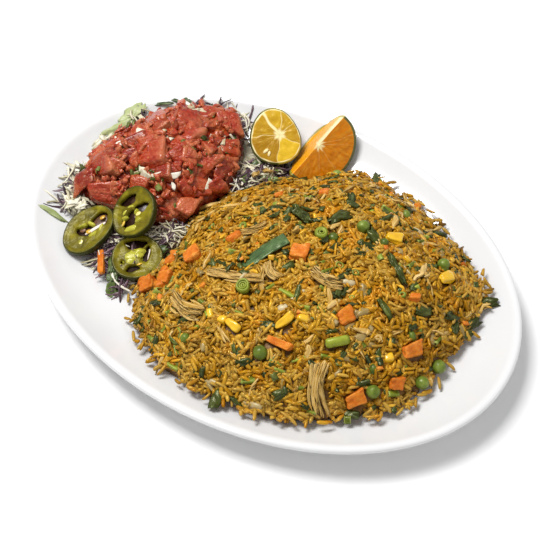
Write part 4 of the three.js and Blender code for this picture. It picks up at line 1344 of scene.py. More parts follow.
bedLook = {
    "seed": 51,
    "core": (2.8 * mm, 0.8 * mm, 9 * mm, 8),  # how deep, how lumpy, how wide the lumps are, and their seed
    # the patches at (-44, 52) and (-54, 62) heap dark purple shreds under the citrus half: partly real
    # shreds, partly painted shade where the half casts its shadow
    # x, y, spread along, spread across, heading, how many, share of purple
    "patches": [
        (-146, -14, 16, 5, 65, 46, 0.35), (-144, -38, 6, 4, 30, 12, 0.6), (-146, 20, 20, 5, 75, 50, 0.3),
        (-134, 56, 18, 6, 45, 44, 0.25), (-112, 84, 16, 5, 20, 40, 0.6), (-80, 93, 16, 5, 0, 30, 0.5),
        (-44, 52, 20, 8, 80, 90, 0.55), (-38, 77, 10, 4, 10, 40, 0.95), (-56, 26, 14, 6, 60, 46, 0.5),
        (-62, -4, 16, 8, 60, 60, 0.35), (-68, -22, 12, 8, 30, 60, 0.35), (-92, -44, 14, 8, 20, 60, 0.75),
        (-84, -60, 14, 6, 0, 44, 0.75), (-96, -58, 8, 5, 20, 16, 0.7), (-72, -68, 5, 4, -40, 14, 0.8),
        (-56, 84, 10, 6, 0, 20, 0.5), (-108, 58, 8, 6, 20, 20, 0.5), (-54, 62, 10, 5, 80, 60, 0.55),
        (-47, 72, 9, 4, 0, 34, 0.75), (-55, 44, 8, 5, 70, 40, 0.5),
    ],
    # broad scraps of white cabbage: x, y, spread, how many
    "scraps": [
        (-147, -8, 8, 34), (-146, 18, 8, 32), (-136, 42, 8, 24), (-141, -30, 6, 20), (-54, 56, 7, 4),
        (-110, 74, 7, 12),
    ],
    # chicken: x, y, heading, length, width
    "chunks": [
        (-51, 40, 70, 14, 8), (-49, 42, 20, 12, 6), (-53, 37, 120, 9, 6), (-43, 64, 40, 8, 4),
        (-48, 56, 80, 7, 3),
    ],
    "stick": (-91, -62, 4.5, -51),  # the stick of carrot: x, y, height, heading
    "scrapSize": (13 * mm, 3.2 * mm, 0.4 * mm),
    "stickSize": (19 * mm, 4.6 * mm, 4 * mm),
    "rimGap": 9 * mm,  # no shred lies nearer to the platter's edge
    "tuck": (3 * mm, 1 * mm),  # how far the shreds reach down under the salsa and under the rice
    "length": (17, 5),  # of the shreds, in mm, and how far it strays
    "width": 1.5 * mm,
    "thick": 0.8 * mm,
    "lettuce": [  # x, y, heading, length, width, tone, tilt
        (-152, 49, 72, 22, 12, 0.95, 0.2), (-153, 33, 68, 22, 8, 0.9, 0.2),
        (-144, -51, 20, 21, 3.6, 0.74, 0.05), (-38, 63, 40, 12, 7, 0.5, 0.2), (-41, 74, 80, 9, 6, 0.5, 0.2),
        (-62, -2, 20, 10, 4, 0.8, 0.2),
    ],
    "darkLeaves": [
        (-154, 12, 85, 15, 4, 0.16, 0.2), (-128, 3, 26, 12, 7, 0.1, 0.3),
        (-84, -59, -60, 15, 6, 0.14, 0.2), (-74, -73, -44, 12, 9, 0.24, 0.1),
        (-80, -64, -60, 13, 8, 0.14, 0.1), (-64, -34, 70, 10, 6, 0.14, 0.2),
        (-117, 72, 60, 12, 5, 0.1, 0.3), (-125, 30, 92, 12, 4, 0.08, 0.2),
        (-117, 54, 81, 11, 4, 0.08, 0.2), (-139, 70, 30, 13, 3, 0.1, 0.3),
        (-131, 78, 10, 14, 3, 0.08, 0.3), (-124, 80, -20, 10, 4, 0.12, 0.3),
        (-54, 66, 80, 12, 6, 0.12, 0.2), (-46, 60, 20, 9, 5, 0.18, 0.2), (-52, 50, 120, 8, 5, 0.3, 0.2),
    ],
}


cabbageFinish = foodFinish("whiteCabbage", {
    "tones": ((0.36, 0.32, 0.17), (0.66, 0.61, 0.43), (0.86, 0.82, 0.69)),
    "cloud": (180, 0.7), "grain": 900, "gloss": (0.22, 0.45),
    "bump": (0.3, 0.3 * mm),
    "shine": (0.45, (1, 1, 1)),
})
purpleFinish = foodFinish("purpleCabbage", {
    "tones": ((0.022, 0.009, 0.016), (0.07, 0.03, 0.045), (0.26, 0.16, 0.19)),
    "cloud": (220, 0.8), "grain": 900, "gloss": (0.22, 0.45),
    "edge": ((0.62, 0.55, 0.54), 0.8, 1.1),
    "bump": (0.3, 0.3 * mm),
    "shine": (0.45, (1, 1, 1)),
})
lettuceFinish = foodFinish("lettuce", {
    "tones": ((0.012, 0.028, 0.006), (0.15, 0.22, 0.03), (0.42, 0.46, 0.22)),
    "cloud": (110, 0.5), "grain": 800, "gloss": (0.25, 0.5),
    "streaks": (500, 60, 3, 0.35, (0.5, 0.53, 0.32)),
    "bump": (0.6, 0.8 * mm),
    "shine": (0.4, (1, 1, 1)),
})


def makeBed():
    look = bedLook
    relief = Relief("cabbage_bed")
    rng = np.random.default_rng(look["seed"])
    base = Batch()
    base.add(relief.core(*look["core"]), tint=0.45)
    base.build("bedCore", [cabbageFinish], "cabbage", ["cabbage_bed"])
    usual = look["length"][0] * mm
    shapes = [
        shredShape(look["width"] / usual, look["thick"] / usual, 1.1 + 0.25 * (k % 4), 160 + k)
        for k in range(12)]
    white, purple = Batch(), Batch()
    for x, y, along, across, heading, count, share in look["patches"]:
        heading = math.radians(heading)
        u, v = (np.clip(rng.normal(0, reach * 0.55, count), -reach, reach) for reach in (along, across))
        u, v = swung(u, v, heading)
        px, py = (x + u) * mm, (y + v) * mm
        lift = rng.uniform(0.2, 4.0, count) * mm
        length = np.clip(rng.normal(*look["length"], count), 8, 30) * mm
        scale = xyz(length, np.minimum(length, 20 * mm), usual * rng.uniform(0.8, 1.25, count))
        yaw = rng.normal(heading, 0.9, count)
        tilt, roll = rng.normal(0, 0.14, count), rng.normal(0, 0.3, count)
        centres, turns = layOn(relief, px, py, lift, yaw, tilt, roll, scale, 1.2 * mm)
        hidden = np.array([inBigPiece(centre) for centre in centres])
        hidden |= (px / (halfLength - look["rimGap"])) ** 2 + (py / (halfWidth - look["rimGap"])) ** 2 > 1
        for heap, depth in zip((salsaRelief, riceRelief), look["tuck"]):
            hidden |= heap.covers(px, py) & (centres[:, 2] < heap.at(px, py) - depth)
        isPurple = rng.uniform(size=count) < share
        tone = np.clip(rng.normal(0.55, 0.22, count), 0.05, 0.95)
        picks = rng.integers(0, len(shapes), count)
        for batch, mine in ((white, ~hidden & ~isPurple), (purple, ~hidden & isPurple)):
            batch.scatter(shapes, picks[mine], turns[mine], centres[mine], tone[mine])
    flat = [flakeShape(*look["scrapSize"], 0.15, 0.1, 0.6, 175 + k, (8, 5), 0.1) for k in range(8)]
    for x, y, spread, count in look["scraps"]:
        reach, around = spread * 1.6 * rng.uniform(0, 1, count) ** 0.5, rng.uniform(0, 2 * math.pi, count)
        px, py = (x + reach * np.cos(around)) * mm, (y + reach * np.sin(around)) * mm
        tilt, roll = rng.normal(0, 0.3, (2, count))
        yaw = rng.uniform(-math.pi, math.pi, count)
        scale = rng.uniform(0.6, 1.3, (count, 3))
        lift = rng.uniform(1, 4.5, count) * mm
        centres, turns = layOn(relief, px, py, lift, yaw, tilt, roll, scale, 2 * mm)
        white.scatter(flat, rng.integers(0, len(flat), count), turns, centres, rng.uniform(0.3, 0.95, count))
    white.build("whiteShreds", [cabbageFinish], "cabbage", ["cabbage_bed"])
    purple.build("purpleShreds", [purpleFinish], "cabbage", ["cabbage_bed"])

    leaves, chunk, stick = Batch(), Batch(), Batch()
    for number, (x, y, heading, length, width, tone, tilt) in enumerate(look["lettuce"] + look["darkLeaves"]):
        shape = flakeShape(length * mm, width * mm, 0.6 * mm, 0.05, 0.1, 0.4, 180 + number, (18, 10), 0.3)
        shape["points"][:, 2] += 1.4 * mm * bumps(shape["points"], 7 * mm, number)
        leaves.add(shape, *layOne(relief, x, y, 4, heading, tilt, 0.1, 2.5), tone)
    leaves.build("lettuce", [lettuceFinish], "cabbage", ["cabbage_bed"])
    for number, (x, y, heading, length, width) in enumerate(look["chunks"]):
        line = np.array([(-0.5, 0, 0), (-0.2, 0.12, 0.2), (0.15, -0.1, 0.25), (0.5, 0.1, 0)]) * length * mm
        shape = tornShape(line, width * mm, 4 * mm, 195 + number, (16, 14))
        chunk.add(shape, *layOne(relief, x, y, 6, heading, 0.1, 0.2, 4), 0.35 + 0.1 * (number % 3))
    chunk.build("chickenChunk", [finishes["meat"]], "chicken", ["cabbage_bed"])
    shape = blockShape(look["stickSize"], 0.3, (0.05, 0.05), 0.06, 190, 8)
    stick.add(shape, *layOne(relief, *look["stick"], 0.1, 0.2, 3), 0.45)
    stick.build("carrotStick", [finishes["carrot"]], "carrot", ["cabbage_bed"])


makeBed()


# Slices of pickled chilli: a wall of flesh under a dark skin, with holes down to a dark floor of painted
# shade.

chilliLook = {
    "sectors": 120,
    "rings": 30,
    "swell": 1.05,  # how much wider than its node a slice is
    "edge": 1.4 * mm,  # how wide the rounding of its edges is
    "skin": 2.4 * mm,  # how wide the dark skin shows
    "snap": 1.6 * mm,  # how far inside a hole points still move out to its edge
    "wave": (0.3 * mm, 4.5 * mm),  # height and width of the bumps
    "dish": (1.1 * mm, 5 * mm),  # how far the flesh sinks inside the skin, and over what width
    "seedSize": (4.2 * mm, 3.4 * mm, 1.6 * mm),
    "filmThick": 1.3 * mm,
    "turn": 34,  # the slices' own x axis, as a heading in plan
    # holes: x, y, length, width, heading. pith and film: the same, then a tone. seeds: x, y, heading, tone.
    # a film paler than 0.9 lies on top as a painted highlight of wet gleam (on the front slice, along a pale
    # membrane rim); the others are membranes down in the holes, and the darkest of them are painted shade
    "slices": {
        "chilli_slice_left": {
            "holes": [(-2.6, -0.2, 12, 8.0, 0), (7.4, 7.2, 13, 9, 38)],
            "pith": [
                (1.6, 4.6, 6.5, 3.4, -30, 0.9), (-4.6, 3.8, 8, 3, 20, 0.6), (3.6, -3.6, 9, 4.4, 30, 0.7),
                (-5.4, -8.6, 5, 3.6, 60, 0.55), (8.6, 0.6, 8, 3.4, 60, 0.8)],
            "seeds": [(0.2, -1.4, 10, 0.1), (-5.0, -8.8, 70, 0.95), (9.4, 8.4, 30, 0.05)],
            "film": [(7.6, 7.2, 11, 8, 35, 0.25), (-5, 1.6, 4.5, 4, 0, 0.45), (4.6, 0.4, 16, 2.6, 28, 0.98)],
        },
        "chilli_slice_top": {
            "holes": [(-4.0, 8.4, 12.5, 6.6, 20), (5.6, 1.6, 10.5, 5.8, 12), (-3.6, -5.6, 14, 8.2, 58)],
            "pith": [
                (-6.6, 0.6, 6.5, 4, 50, 0.9), (-2.0, 3.4, 9, 2.6, 15, 0.95), (-7.8, -3.6, 5.5, 3, 25, 0.8),
                (-2.8, -12.0, 13, 5.4, 8, 0.85), (1.4, -0.8, 5, 3, 70, 0.6), (3.6, -6.4, 9, 5, 40, 0.5),
            ],
            "seeds": [(3.4, -2.6, 20, 0.8), (-8.4, -7.4, 60, 0.35)],
            "film": [(1.6, -2.6, 5, 3.4, 20, 0.75), (-1.0, 7.6, 5, 4, 40, 0.1)],
        },
        "chilli_slice_front": {
            "holes": [
                (-1.6, 9.0, 14.5, 7.6, 4), (5.8, 1.6, 12, 5.0, 78), (-2.8, -9.2, 9, 4.4, 14),
                (-10, -4.4, 2.2, 1.8, 0),
            ],
            "pith": [
                (-3.0, 0.4, 14.5, 11.5, 6, 0.75), (-4.5, -3.4, 10, 7, -10, 0.65), (0.5, 3.4, 9, 6, 20, 0.8),
            ],
            "seeds": [(1.8, -6.0, 20, 0.35)],
            "film": [(7.7, 1.2, 8.5, 1.0, 80, 0.98)],
        },
    },
    "flesh": {
        "tones": ((0.04, 0.034, 0.002), (0.116, 0.093, 0.004), (0.27, 0.23, 0.01)),
        "cloud": (190, 1.7), "grain": 700, "gloss": (0.18, 0.42),
        "streaks": (260, 120, 2, 0.35, (0.2, 0.165, 0.008)),
        "stain": (75, 0.45, (0.175, 0.14, 0.004)),
        "edge": ((0.028, 0.032, 0.005), 0.05, 0.8),
        "bump": (0.7, 0.7 * mm),
        "shine": (0.25, (1, 0.95, 0.6)),
    },
    "pith": {
        "tones": ((0.14, 0.12, 0.008), (0.3, 0.28, 0.015), (0.5, 0.47, 0.05)),
        "cloud": (260, 0.8), "grain": 900, "gloss": (0.15, 0.35),
        "bump": (0.6, 0.6 * mm),
        "shine": (0.45, (1, 1, 0.7)),
    },
    "seed": {
        "tones": ((0.55, 0.3, 0.02), (0.76, 0.52, 0.06), (0.88, 0.8, 0.32)),
        "cloud": (300, 0.3), "grain": 1200, "gloss": (0.2, 0.4),
        "bump": (0.3, 0.3 * mm),
        "shine": (0.5, (1, 1, 1)),
        "shader": {"Coat Weight": 0.3, "Coat Roughness": 0.12},
    },
    # the films' finish: its dark tone paints shade in the holes and on the floor under them, its light tone
    # paints highlights
    "film": {
        "tones": ((0.022, 0.009, 0.006), (0.19, 0.085, 0.04), (0.8, 0.7, 0.62)),
        "cloud": (200, 0.3), "grain": 900, "gloss": (0.2, 0.4),
        "bump": (0.5, 0.5 * mm),
        "shine": (0.3, (1, 1, 1)),
    },
}


# The radius of an outline at each angle: where a line from the middle last crosses an edge.
def outlineRadius(local, triangles, angles):
    a = np.vstack([local[triangles[:, i], :2] for i in range(3)])
    b = np.vstack([local[triangles[:, (i + 1) % 3], :2] for i in range(3)])
    found = np.empty(len(angles))
    for i, angle in enumerate(angles):
        along = np.array([math.cos(angle), math.sin(angle)])
        aside = np.array([-along[1], along[0]])
        first, second = a @ aside, b @ aside
        crossing = first * second <= 0
        share = first[crossing] / (first[crossing] - second[crossing] + 1e-12)
        found[i] = ((a[crossing] + (b - a)[crossing] * share[:, None]) @ along).max()
    for turn in range(6):
        found = (np.roll(found, 1) + found * 2 + np.roll(found, -1)) / 4
    return found


def makeChilli(name, look, seed):
    shared = chilliLook
    points, triangles = nodeMesh(name)
    axes, sizes = nodeAxes(name)[1:]
    normal = axes[:, 2]
    leanTo, lean = math.atan2(normal[1], normal[0]), math.acos(normal[2])
    turns = [(leanTo, "Z"), (lean, "Y"), (math.radians(shared["turn"]) - leanTo, "Z")]
    frameTurn = np.identity(3)
    for angle, axis in turns:
        frameTurn = frameTurn @ np.array(Matrix.Rotation(angle, 3, axis))
    local, centre = centred(points, frameTurn)
    half = sizes[2] / 2
    angles = circle(shared["sectors"])
    edge = outlineRadius(local, triangles, angles) * shared["swell"]
    shares = np.linspace(0, 1, shared["rings"]) ** 0.8  # closer together towards the edge
    x = shares[:, None] * edge * np.cos(angles)
    y = shares[:, None] * edge * np.sin(angles)
    gap = np.full(x.shape, 1.0)  # how far the flesh is from a hole
    for number, (holeX, holeY, length, width, heading) in enumerate(look["holes"]):
        holeX, holeY, heading = holeX * mm, holeY * mm, math.radians(heading)
        along, aside = swung(x - holeX, y - holeY, -heading)
        turned = np.arctan2(aside / width, along / length)
        wobble = 1 + 0.1 * np.sin(3 * turned + seed + number) + 0.06 * np.sin(5 * turned + 2 * number)
        size = np.hypot(along / (length / 2 * mm), aside / (width / 2 * mm)) / wobble
        here = (size - 1) * width / 2 * mm
        # points just inside a hole move out to its edge, so that the cut is smooth
        into = (here < 0) & (here > -shared["snap"])
        pull = np.where(into, 1 / np.maximum(size, 0.05), 1)
        along, aside = swung(along * pull, aside * pull, heading)
        x, y = np.where(into, holeX + along, x), np.where(into, holeY + aside, y)
        gap = np.minimum(gap, here)
    flat = xyz(x, y, 0.0).reshape(-1, 3)
    rim = (1 - shares)[:, None] * edge[None, :]
    near = np.clip(np.minimum(gap, rim) / shared["edge"], 0, 1)
    rounding = np.sqrt(1 - (1 - near) ** 2)
    rise, wide = shared["wave"]
    wave = rise * planBumps(x, y, wide, seed)
    drop, wide = shared["dish"]
    dish = drop * smoothStep(rim, 0, wide)
    height = (half * (0.5 + 0.47 * rounding) + wave * rounding - dish).ravel()
    top, bottom = flat.copy(), flat.copy()
    top[:, 2], bottom[:, 2] = height, -height
    quads = gridQuads(*x.shape, around=True)
    keep = (gap >= 0).ravel()[quads].any(1)
    skin = np.clip(1 - rim / shared["skin"], 0, 1) ** 1.3
    batch = Batch()
    slab = welded(slabSkin(top, bottom, quads[keep], skin))
    batch.add(slab, frameTurn, centre, 0.5 + 0.35 * bumps(slab["points"], 7 * mm, seed + 1))
    rng = np.random.default_rng(seed)

    def addLump(x, y, z, size, heading, tone, finish, rough, tilt=0.0):
        shape = lumpShape(size, rough, rng.integers(1000), 10, 18, 0.55)
        spin = Matrix.Rotation(math.radians(heading), 3, "Z") @ Matrix.Rotation(tilt, 3, "X")
        batch.add(shape, frameTurn @ np.array(spin), centre + frameTurn @ [x * mm, y * mm, z], tone, finish)

    for x, y, length, width, heading, tone in look["pith"]:
        addLump(x, y, -0.05 * half, (length * mm, width * mm, half * 1.75), heading, tone, 1, 0.3)
    for x, y, heading, tone in look["seeds"]:
        addLump(x, y, half * 0.45, shared["seedSize"], heading, tone, 2, 0.08, rng.normal(0, 0.4))
    # a dark floor under the holes: painted shade, standing for the shaded bed seen through them
    floor = [
        xyz(edge * reach * np.cos(angles), edge * reach * np.sin(angles), half * level)
        for reach, level in ((0.88, -0.9), (0.86, -0.55))]
    batch.add(loft(floor), frameTurn, centre, 0.02, 3)
    # pale films lie on top as painted highlights; the rest sink into the holes, the dark ones as painted
    # shade
    for x, y, length, width, heading, tone in look["film"]:
        height = half * (0.45 if tone > 0.9 else -0.3)
        addLump(x, y, height, (length * mm, width * mm, shared["filmThick"]), heading, tone, 3, 0.2)
    batch.build(camelCase(name), chilliFinishes, "chilli", [name])


chilliFinishes = [
    foodFinish(f"chilli{kind.capitalize()}", chilliLook[kind]) for kind in ("flesh", "pith", "seed", "film")]
for number, name in enumerate(chilliNodes):
    makeChilli(name, chilliLook["slices"][name], 300 + number)


# Citrus: a half and a wedge of one small fruit. Flesh, membranes and pith share one finish.

citrusLook = {
    "skin": {
        "tones": ((0.03, 0.036, 0.008), (0.1, 0.1, 0.012), (0.4, 0.32, 0.03)),
        "cloud": (60, 0.8), "grain": 1100, "gloss": (0.3, 0.5),
        "bump": (0.6, 0.5 * mm),
        "shine": (0.5, (1, 1, 1)),
        "shader": {"Coat Weight": 0.2, "Coat Roughness": 0.2},
    },
    "flesh": {
        "tones": ((0.28, 0.12, 0.004), (0.42, 0.225, 0.008), (0.66, 0.42, 0.02)),
        "cloud": (200, 0.5), "grain": 900, "gloss": (0.18, 0.4),
        "streaks": (900, 130, 2, 0.3, (0.64, 0.42, 0.05)),
        "edge": ((0.84, 0.72, 0.38), 0.25, 0.95),
        "bump": (0.7, 0.6 * mm),
        "shine": (0.3, (1, 0.85, 0.4)),
        "shader": {"Coat Weight": 0.1, "Coat Roughness": 0.12},
    },
    "half": {
        # where each membrane runs, in degrees from the right of the cut, and the tone of the segment after it
        "membranes": [(42, 0.6), (84, 0.74), (130, 0.48), (184, 0.22), (266, 0.95), (333, 0.5)],
        "core": (0.17, 0.09),  # where the membranes meet, as shares of the radius
        "outline": (1.04, 0.045, 3, 95),  # how wide, and how far, how often and from where it bulges
        "membrane": (0.1 * mm, 0.55 * mm),  # half its width, and where it ends
        "thickMembrane": (130, 2.4),  # which one is thicker, and by how much
        "hub": (1.6 * mm, 6.2 * mm),
        "pith": 0.94,  # where it begins, as a share of the radius
        "puff": 0.3 * mm,  # how far the juice cells stand up
        "rim": 0.9 * mm,  # how far the skin's edge lies below the cut
        "seeds": [(-0.34, -0.52, 40, 4.6), (-0.22, -0.62, 75, 4.0)],  # place on the cut, heading, length
    },
    "wedge": {
        "fruit": (29.0 * mm, 26.5 * mm, 26.5 * mm),
        "shift": (-4.3 * mm, 2.2 * mm, -0.5 * mm),  # from the middle of the frame's ridge
        "heading": 76.5,  # where the ridge points, how it rises, and how the fruit leans about it
        "rise": 25.2,
        "lean": -3.0,
        "opening": 46.6,  # half the angle between the cuts
        "tip": (0.04, 0.3),  # how much the ends are blunted, and over what angle
        "skin": 0.93,  # where it begins, as a share of the radius
        "membrane": (0.05 * mm, 0.5 * mm),
        "pith": (1.2 * mm, 2.4 * mm),
        "hub": (1.8 * mm, 5.6 * mm),
        "puff": 0.4 * mm,
        "membranes": [(70, 140), (33, 47, 100, 134)],  # on either cut, in degrees from the ridge's top
        # the tints of the two cut faces, the first lighter: painted light and shade
        "tones": (0.92, 0.36),
        "flesh": ((0.33, 0.085, 0.001), (0.6, 0.175, 0.001), (0.92, 0.38, 0.004)),
    },
}


# The faces of a node that lie in its largest flat areas: the normal of each and the points on it.
def flatFaces(name, count):
    points, triangles = nodeMesh(name)
    a, b, c = (points[triangles[:, i]] for i in range(3))
    cross = np.cross(b - a, c - a)
    area = np.linalg.norm(cross, axis=1)
    normals = cross / area[:, None]
    found = []
    left = np.ones(len(area), bool)
    for number in range(count):
        alike = (normals @ normals.T > 0.9995) & left[None, :]
        best = int(((alike * area[None, :]).sum(1) * left).argmax())
        mine = alike[best]
        used, where = np.unique(triangles[mine], return_inverse=True)
        found.append((normals[best], points[used], where.reshape(-1, 3)))
        left &= ~mine
    return found


# Rows of points joined into a closed skin. finish gives the material of each band between two rows.
def rowSkin(rows, mask, tint, local, finish, around):
    shape = asShape(rows.reshape(-1, 3), halved(gridQuads(*rows.shape[:2], around)), mask)
    shape["tint"], shape["local"] = tint.ravel(), local.reshape(-1, 3)
    shape["finish"] = np.tile(np.asarray(finish).ravel(), 2)
    return welded(shape)


def makeCitrusHalf(name):
    look = citrusLook["half"]
    points = nodeMesh(name)[0]
    (normal, face, triangles), = flatFaces(name, 1)
    right = unit(np.cross((0, 0, 1), normal))
    turn = np.stack([right, np.cross(normal, right), normal], axis=1)
    local, centre = centred(face, turn)
    angles = circle(180)
    swell, lobe, lobes, first = look["outline"]
    edge = outlineRadius(local, triangles, angles)
    edge = edge * (swell + lobe * np.cos(lobes * (angles - math.radians(first))))
    depth = -((points - centre) @ turn)[:, 2].min()

    shares = np.append(np.linspace(0, 0.945, 34), [0.975, 1])
    core = np.array(look["core"]) * edge.mean()
    x = shares[:, None] * edge * np.cos(angles) + core[0] * (1 - shares[:, None])
    y = shares[:, None] * edge * np.sin(angles) + core[1] * (1 - shares[:, None])
    radius = np.hypot(x - core[0], y - core[1])
    bearing = np.arctan2(y - core[1], x - core[0])
    starts = np.radians([start for start, tone in look["membranes"]])
    tones = np.array([tone for start, tone in look["membranes"]])
    turned = (bearing + 0.05 * np.sin(radius / (2.4 * mm) + bearing * 3)) % (2 * math.pi)
    segment = (np.searchsorted(starts, turned, side="right") - 1) % len(starts)
    gaps = np.abs((turned[..., None] - starts + math.pi) % (2 * math.pi) - math.pi).min(-1) * radius
    at, more = look["thickMembrane"]
    wide = 1 + more * np.exp(-((turned - math.radians(at)) / 0.5) ** 2)
    inner, outer = look["membrane"]
    membrane = (1 - smoothStep(gaps, inner * wide, outer * wide)) * (0.45 + 0.2 * wide).clip(0, 0.95)
    hub = 1 - smoothStep(radius + 0.7 * mm * np.sin(6 * bearing + 1), *look["hub"])
    pith = smoothStep(shares[:, None] + 0.012 * np.sin(9 * angles), look["pith"] - 0.045, look["pith"] - 0.01)
    mask = np.clip(np.maximum(np.maximum(membrane, hub), pith), 0, 1)
    flat = xyz(x, y, 0.0)
    cells = 0.6 + planBumps(radius * 0.45, bearing * 7 * mm, 1.6 * mm, 5)  # juice cells, long towards the rim
    flat[..., 2] = look["puff"] * (1 - mask) * cells - look["rim"] * smoothStep(shares, 0.94, 1)[:, None]
    tint = tones[segment] + 0.12 * bumps(flat, 4 * mm, 9)
    polar = xyz(radius, bearing * 9 * mm, 0)

    rows = []
    for latitude in np.radians([4, 9, 16, 24, 33, 42, 52, 61, 70, 79, 86]):
        girth = math.cos(latitude) ** 0.9 * edge
        level = -look["rim"] - (depth - look["rim"]) * math.sin(latitude)
        rows.append(xyz(girth * np.cos(angles), girth * np.sin(angles), level))
    pole = np.tile([*rows[-1].mean(0)[:2], -depth], (len(angles), 1))
    rows = np.array(rows + [pole])
    green = 0.25 + 0.3 * bumps(rows, 14 * mm, 3)
    finish = np.repeat([0] * (len(shares) - 3) + [1] * (len(rows) + 2), len(angles))
    shape = rowSkin(
        np.vstack([flat, rows]), np.vstack([mask, np.zeros(rows.shape[:2])]), np.vstack([tint, green]),
        np.vstack([polar, rows]), finish, True)
    batch = Batch()
    batch.add(shape, turn, centre, shape["tint"])
    for seedX, seedY, heading, length in look["seeds"]:
        pip = lumpShape((length * mm, length * 0.5 * mm, 1.8 * mm), 0.08, 7, 8, 14)
        pip["mask"] = np.ones(len(pip["points"]))
        spin = np.array(Matrix.Rotation(math.radians(heading), 3, "Z"))
        spot = centre + turn @ [seedX * edge.mean(), seedY * edge.mean(), 0.3 * mm]
        batch.add(pip, turn @ spin, spot, 0.7)
    batch.build(camelCase(name), [citrusFlesh, citrusSkin], "citrus", [name])


def makeCitrusWedge(name):
    look = citrusLook["wedge"]
    firstFace, secondFace = (face for normal, face, triangles in flatFaces(name, 2))
    ridge = np.array([p for p in firstFace if np.abs(secondFace - p).sum(1).min() < 0.05 * mm])
    centre = (ridge.min(0) + ridge.max(0)) / 2 + look["shift"]
    turn = Matrix.Rotation(math.radians(look["heading"]), 3, "Z")
    turn = turn @ Matrix.Rotation(-math.radians(look["rise"]), 3, "Y")
    turn = np.array(turn @ Matrix.Rotation(math.radians(180 + look["lean"]), 3, "X"))
    high = math.radians(look["opening"])

    shares = np.append(np.linspace(0, 0.965, 26) ** 0.85, [0.985, 1])
    arc = np.linspace(-high, high, 24)
    psi = np.concatenate([np.full(len(shares), -high), arc[1:-1], np.full(len(shares), high)])
    part = np.concatenate([shares, np.ones(len(arc) - 2), shares[::-1]])
    kind = np.concatenate([np.zeros(len(shares)), np.ones(len(arc) - 2), np.full(len(shares), 2)])
    theta, psi = np.meshgrid(np.linspace(0, math.pi, 110), psi, indexing="ij")
    part = np.broadcast_to(part, theta.shape)
    kind = np.broadcast_to(kind, theta.shape)
    direction = xyz(np.cos(theta), np.sin(theta) * np.sin(psi), np.sin(theta) * np.cos(psi))
    reach = 1 / np.linalg.norm(direction / look["fruit"], axis=-1)
    blunt, over = look["tip"]
    reach *= 1 - blunt * np.exp(-(theta / over) ** 2)
    points = direction * (reach * part)[..., None]
    cut = kind != 1
    fromRidge = reach * part * np.sin(theta)
    rim = reach * (1 - part)
    membrane = np.zeros(theta.shape)
    for side, angles in ((0, look["membranes"][0]), (2, look["membranes"][1])):
        for angle in angles:
            gap = np.abs(theta + 0.03 * np.sin(part * 9) - math.radians(angle)) * reach * part
            line = 0.42 * (1 - smoothStep(gap, *look["membrane"]))
            membrane = np.maximum(membrane, (kind == side) * line)
    membrane *= smoothStep(fromRidge, 0.4 * mm, 1.6 * mm)
    pith = 0.35 * (1 - smoothStep(rim, *look["pith"]))
    # the white core lies bare round the middle of the ridge and above it
    bare = 0.1 + 4.6 * np.exp(-((theta - 1.58) / 0.2) ** 2)
    bare = bare + (kind == 0) * 8 * smoothStep(1.7 - theta, 0, 0.4)
    bare = (bare + 0.5 * np.sin(14 * theta)).clip(0.1) * mm
    hub = (1 - smoothStep(fromRidge, 0.4 * bare, 1.35 * bare + 0.1 * mm)) * (1 - smoothStep(theta, 1.7, 2.0))
    rays = 1.1 * mm * np.sin(9 * theta + 1) + 0.5 * mm * np.sin(23 * theta)
    hub = np.maximum(hub, 1 - smoothStep(reach * part + rays, *look["hub"]))
    mask = np.where(cut, np.maximum(np.maximum(membrane, pith), hub), 0)
    puff = look["puff"] * (1 - mask) * (0.5 + bumps(points, 2.4 * mm, 6))
    facing = xyz(0, np.cos(psi), -np.sin(psi)) * np.sign(psi)[..., None]
    points += (cut * puff * np.sin(theta) ** 0.5 * smoothStep(part, 0, 0.1))[..., None] * facing
    # the first cut face is tinted lighter and the second darker: painted light and shade on the two faces
    tones = np.where(kind == 0, *look["tones"])
    tint = np.where(cut, tones + 0.12 * bumps(points, 5 * mm, 9), 0.3 + 0.3 * bumps(points, 12 * mm, 3))
    polar = np.where(cut[..., None], xyz(reach * part, theta * 12 * mm, 0), points)
    skin = part > look["skin"]
    finish = (skin[:-1, :-1] & skin[:-1, 1:]).astype(int)
    shape = rowSkin(points, mask, tint, polar, finish, False)
    batch = Batch()
    batch.add(shape, turn, centre, shape["tint"])
    batch.build(camelCase(name), [wedgeFlesh, citrusSkin], "citrus", [name])


citrusSkin = foodFinish("citrusSkin", citrusLook["skin"])
citrusFlesh = foodFinish("citrusFlesh", citrusLook["flesh"])
wedgeFlesh = foodFinish("wedgeFlesh", {**citrusLook["flesh"], "tones": citrusLook["wedge"]["flesh"]})
makeCitrusHalf("citrus_half")
makeCitrusWedge("citrus_wedge")


# The camera, lights and floor.

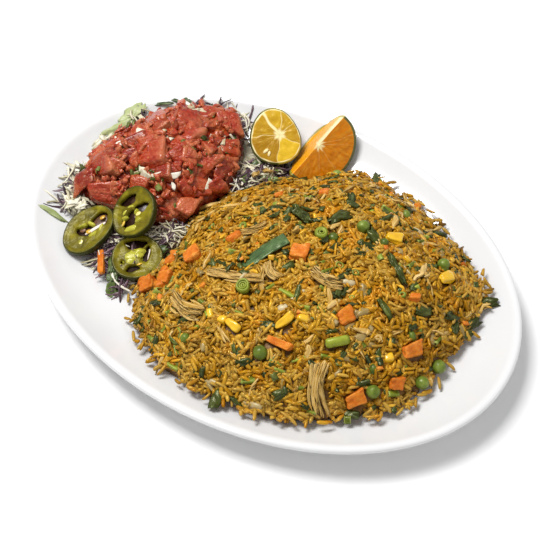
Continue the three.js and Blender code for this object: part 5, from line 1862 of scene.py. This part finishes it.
studioLook = {
    "azimuth": 34.076,
    "elevation": 55.145,
    "distance": 0.7,
    "lens": 69.27,
    "aim": (13.06 * mm, -8.84 * mm, 20 * mm),
    "keyPower": 13.5,
    "keySize": 0.45,
    "fillPower": 1.6,
    "fillSize": 1.2,
    "world": 0.47,
}


def makeStudio():
    look = studioLook
    azimuth, elevation = math.radians(look["azimuth"]), math.radians(look["elevation"])
    flat = math.cos(elevation)
    back = Vector((math.sin(azimuth) * flat, -math.cos(azimuth) * flat, math.sin(elevation)))
    right = Vector((math.cos(azimuth), math.sin(azimuth), 0))
    screenUp = back.cross(right)
    camera = bpy.data.objects.new("camera", bpy.data.cameras.new("camera"))
    camera.data.lens = look["lens"]
    camera.data.sensor_width = 36
    turn = Matrix((right, screenUp, back)).transposed()
    camera.matrix_world = Matrix.Translation(Vector(look["aim"]) + back * look["distance"]) @ turn.to_4x4()
    bpy.context.scene.collection.objects.link(camera)
    bpy.context.scene.camera = camera

    lamps = [
        ("keyLight", screenUp * 0.75 - right * 0.35 + back * 0.75, look["keySize"], look["keyPower"]),
        ("fillLight", right * 0.9 + back * 0.8 - screenUp * 0.2, look["fillSize"], look["fillPower"]),
    ]
    for name, spot, size, power in lamps:
        lamp = bpy.data.objects.new(name, bpy.data.lights.new(name, "AREA"))
        lamp.data.size = size
        lamp.data.energy = power
        lamp.location = spot
        lamp.rotation_euler = spot.to_track_quat("Z", "Y").to_euler()
        bpy.context.scene.collection.objects.link(lamp)

    world = bpy.data.worlds.new("studio")
    world.use_nodes = True
    world.node_tree.nodes["Background"].inputs["Color"].default_value = (1, 1, 1, 1)
    world.node_tree.nodes["Background"].inputs["Strength"].default_value = look["world"]
    bpy.context.scene.world = world
    bpy.context.scene.view_settings.view_transform = "Standard"

    mesh = bpy.data.meshes.new("floor")
    mesh.from_pydata([(-3, -3, 0), (3, -3, 0), (3, 3, 0), (-3, 3, 0)], [], [(0, 1, 2, 3)])
    floor = bpy.data.objects.new("floor", mesh)
    bpy.context.scene.collection.objects.link(floor)
    mesh.materials.append(newMaterial("paleFloor", {"Roughness": 0.9, "Base Color": (0.9, 0.9, 0.9)})[0])
    print("studio: camera, lights and floor")


makeStudio()
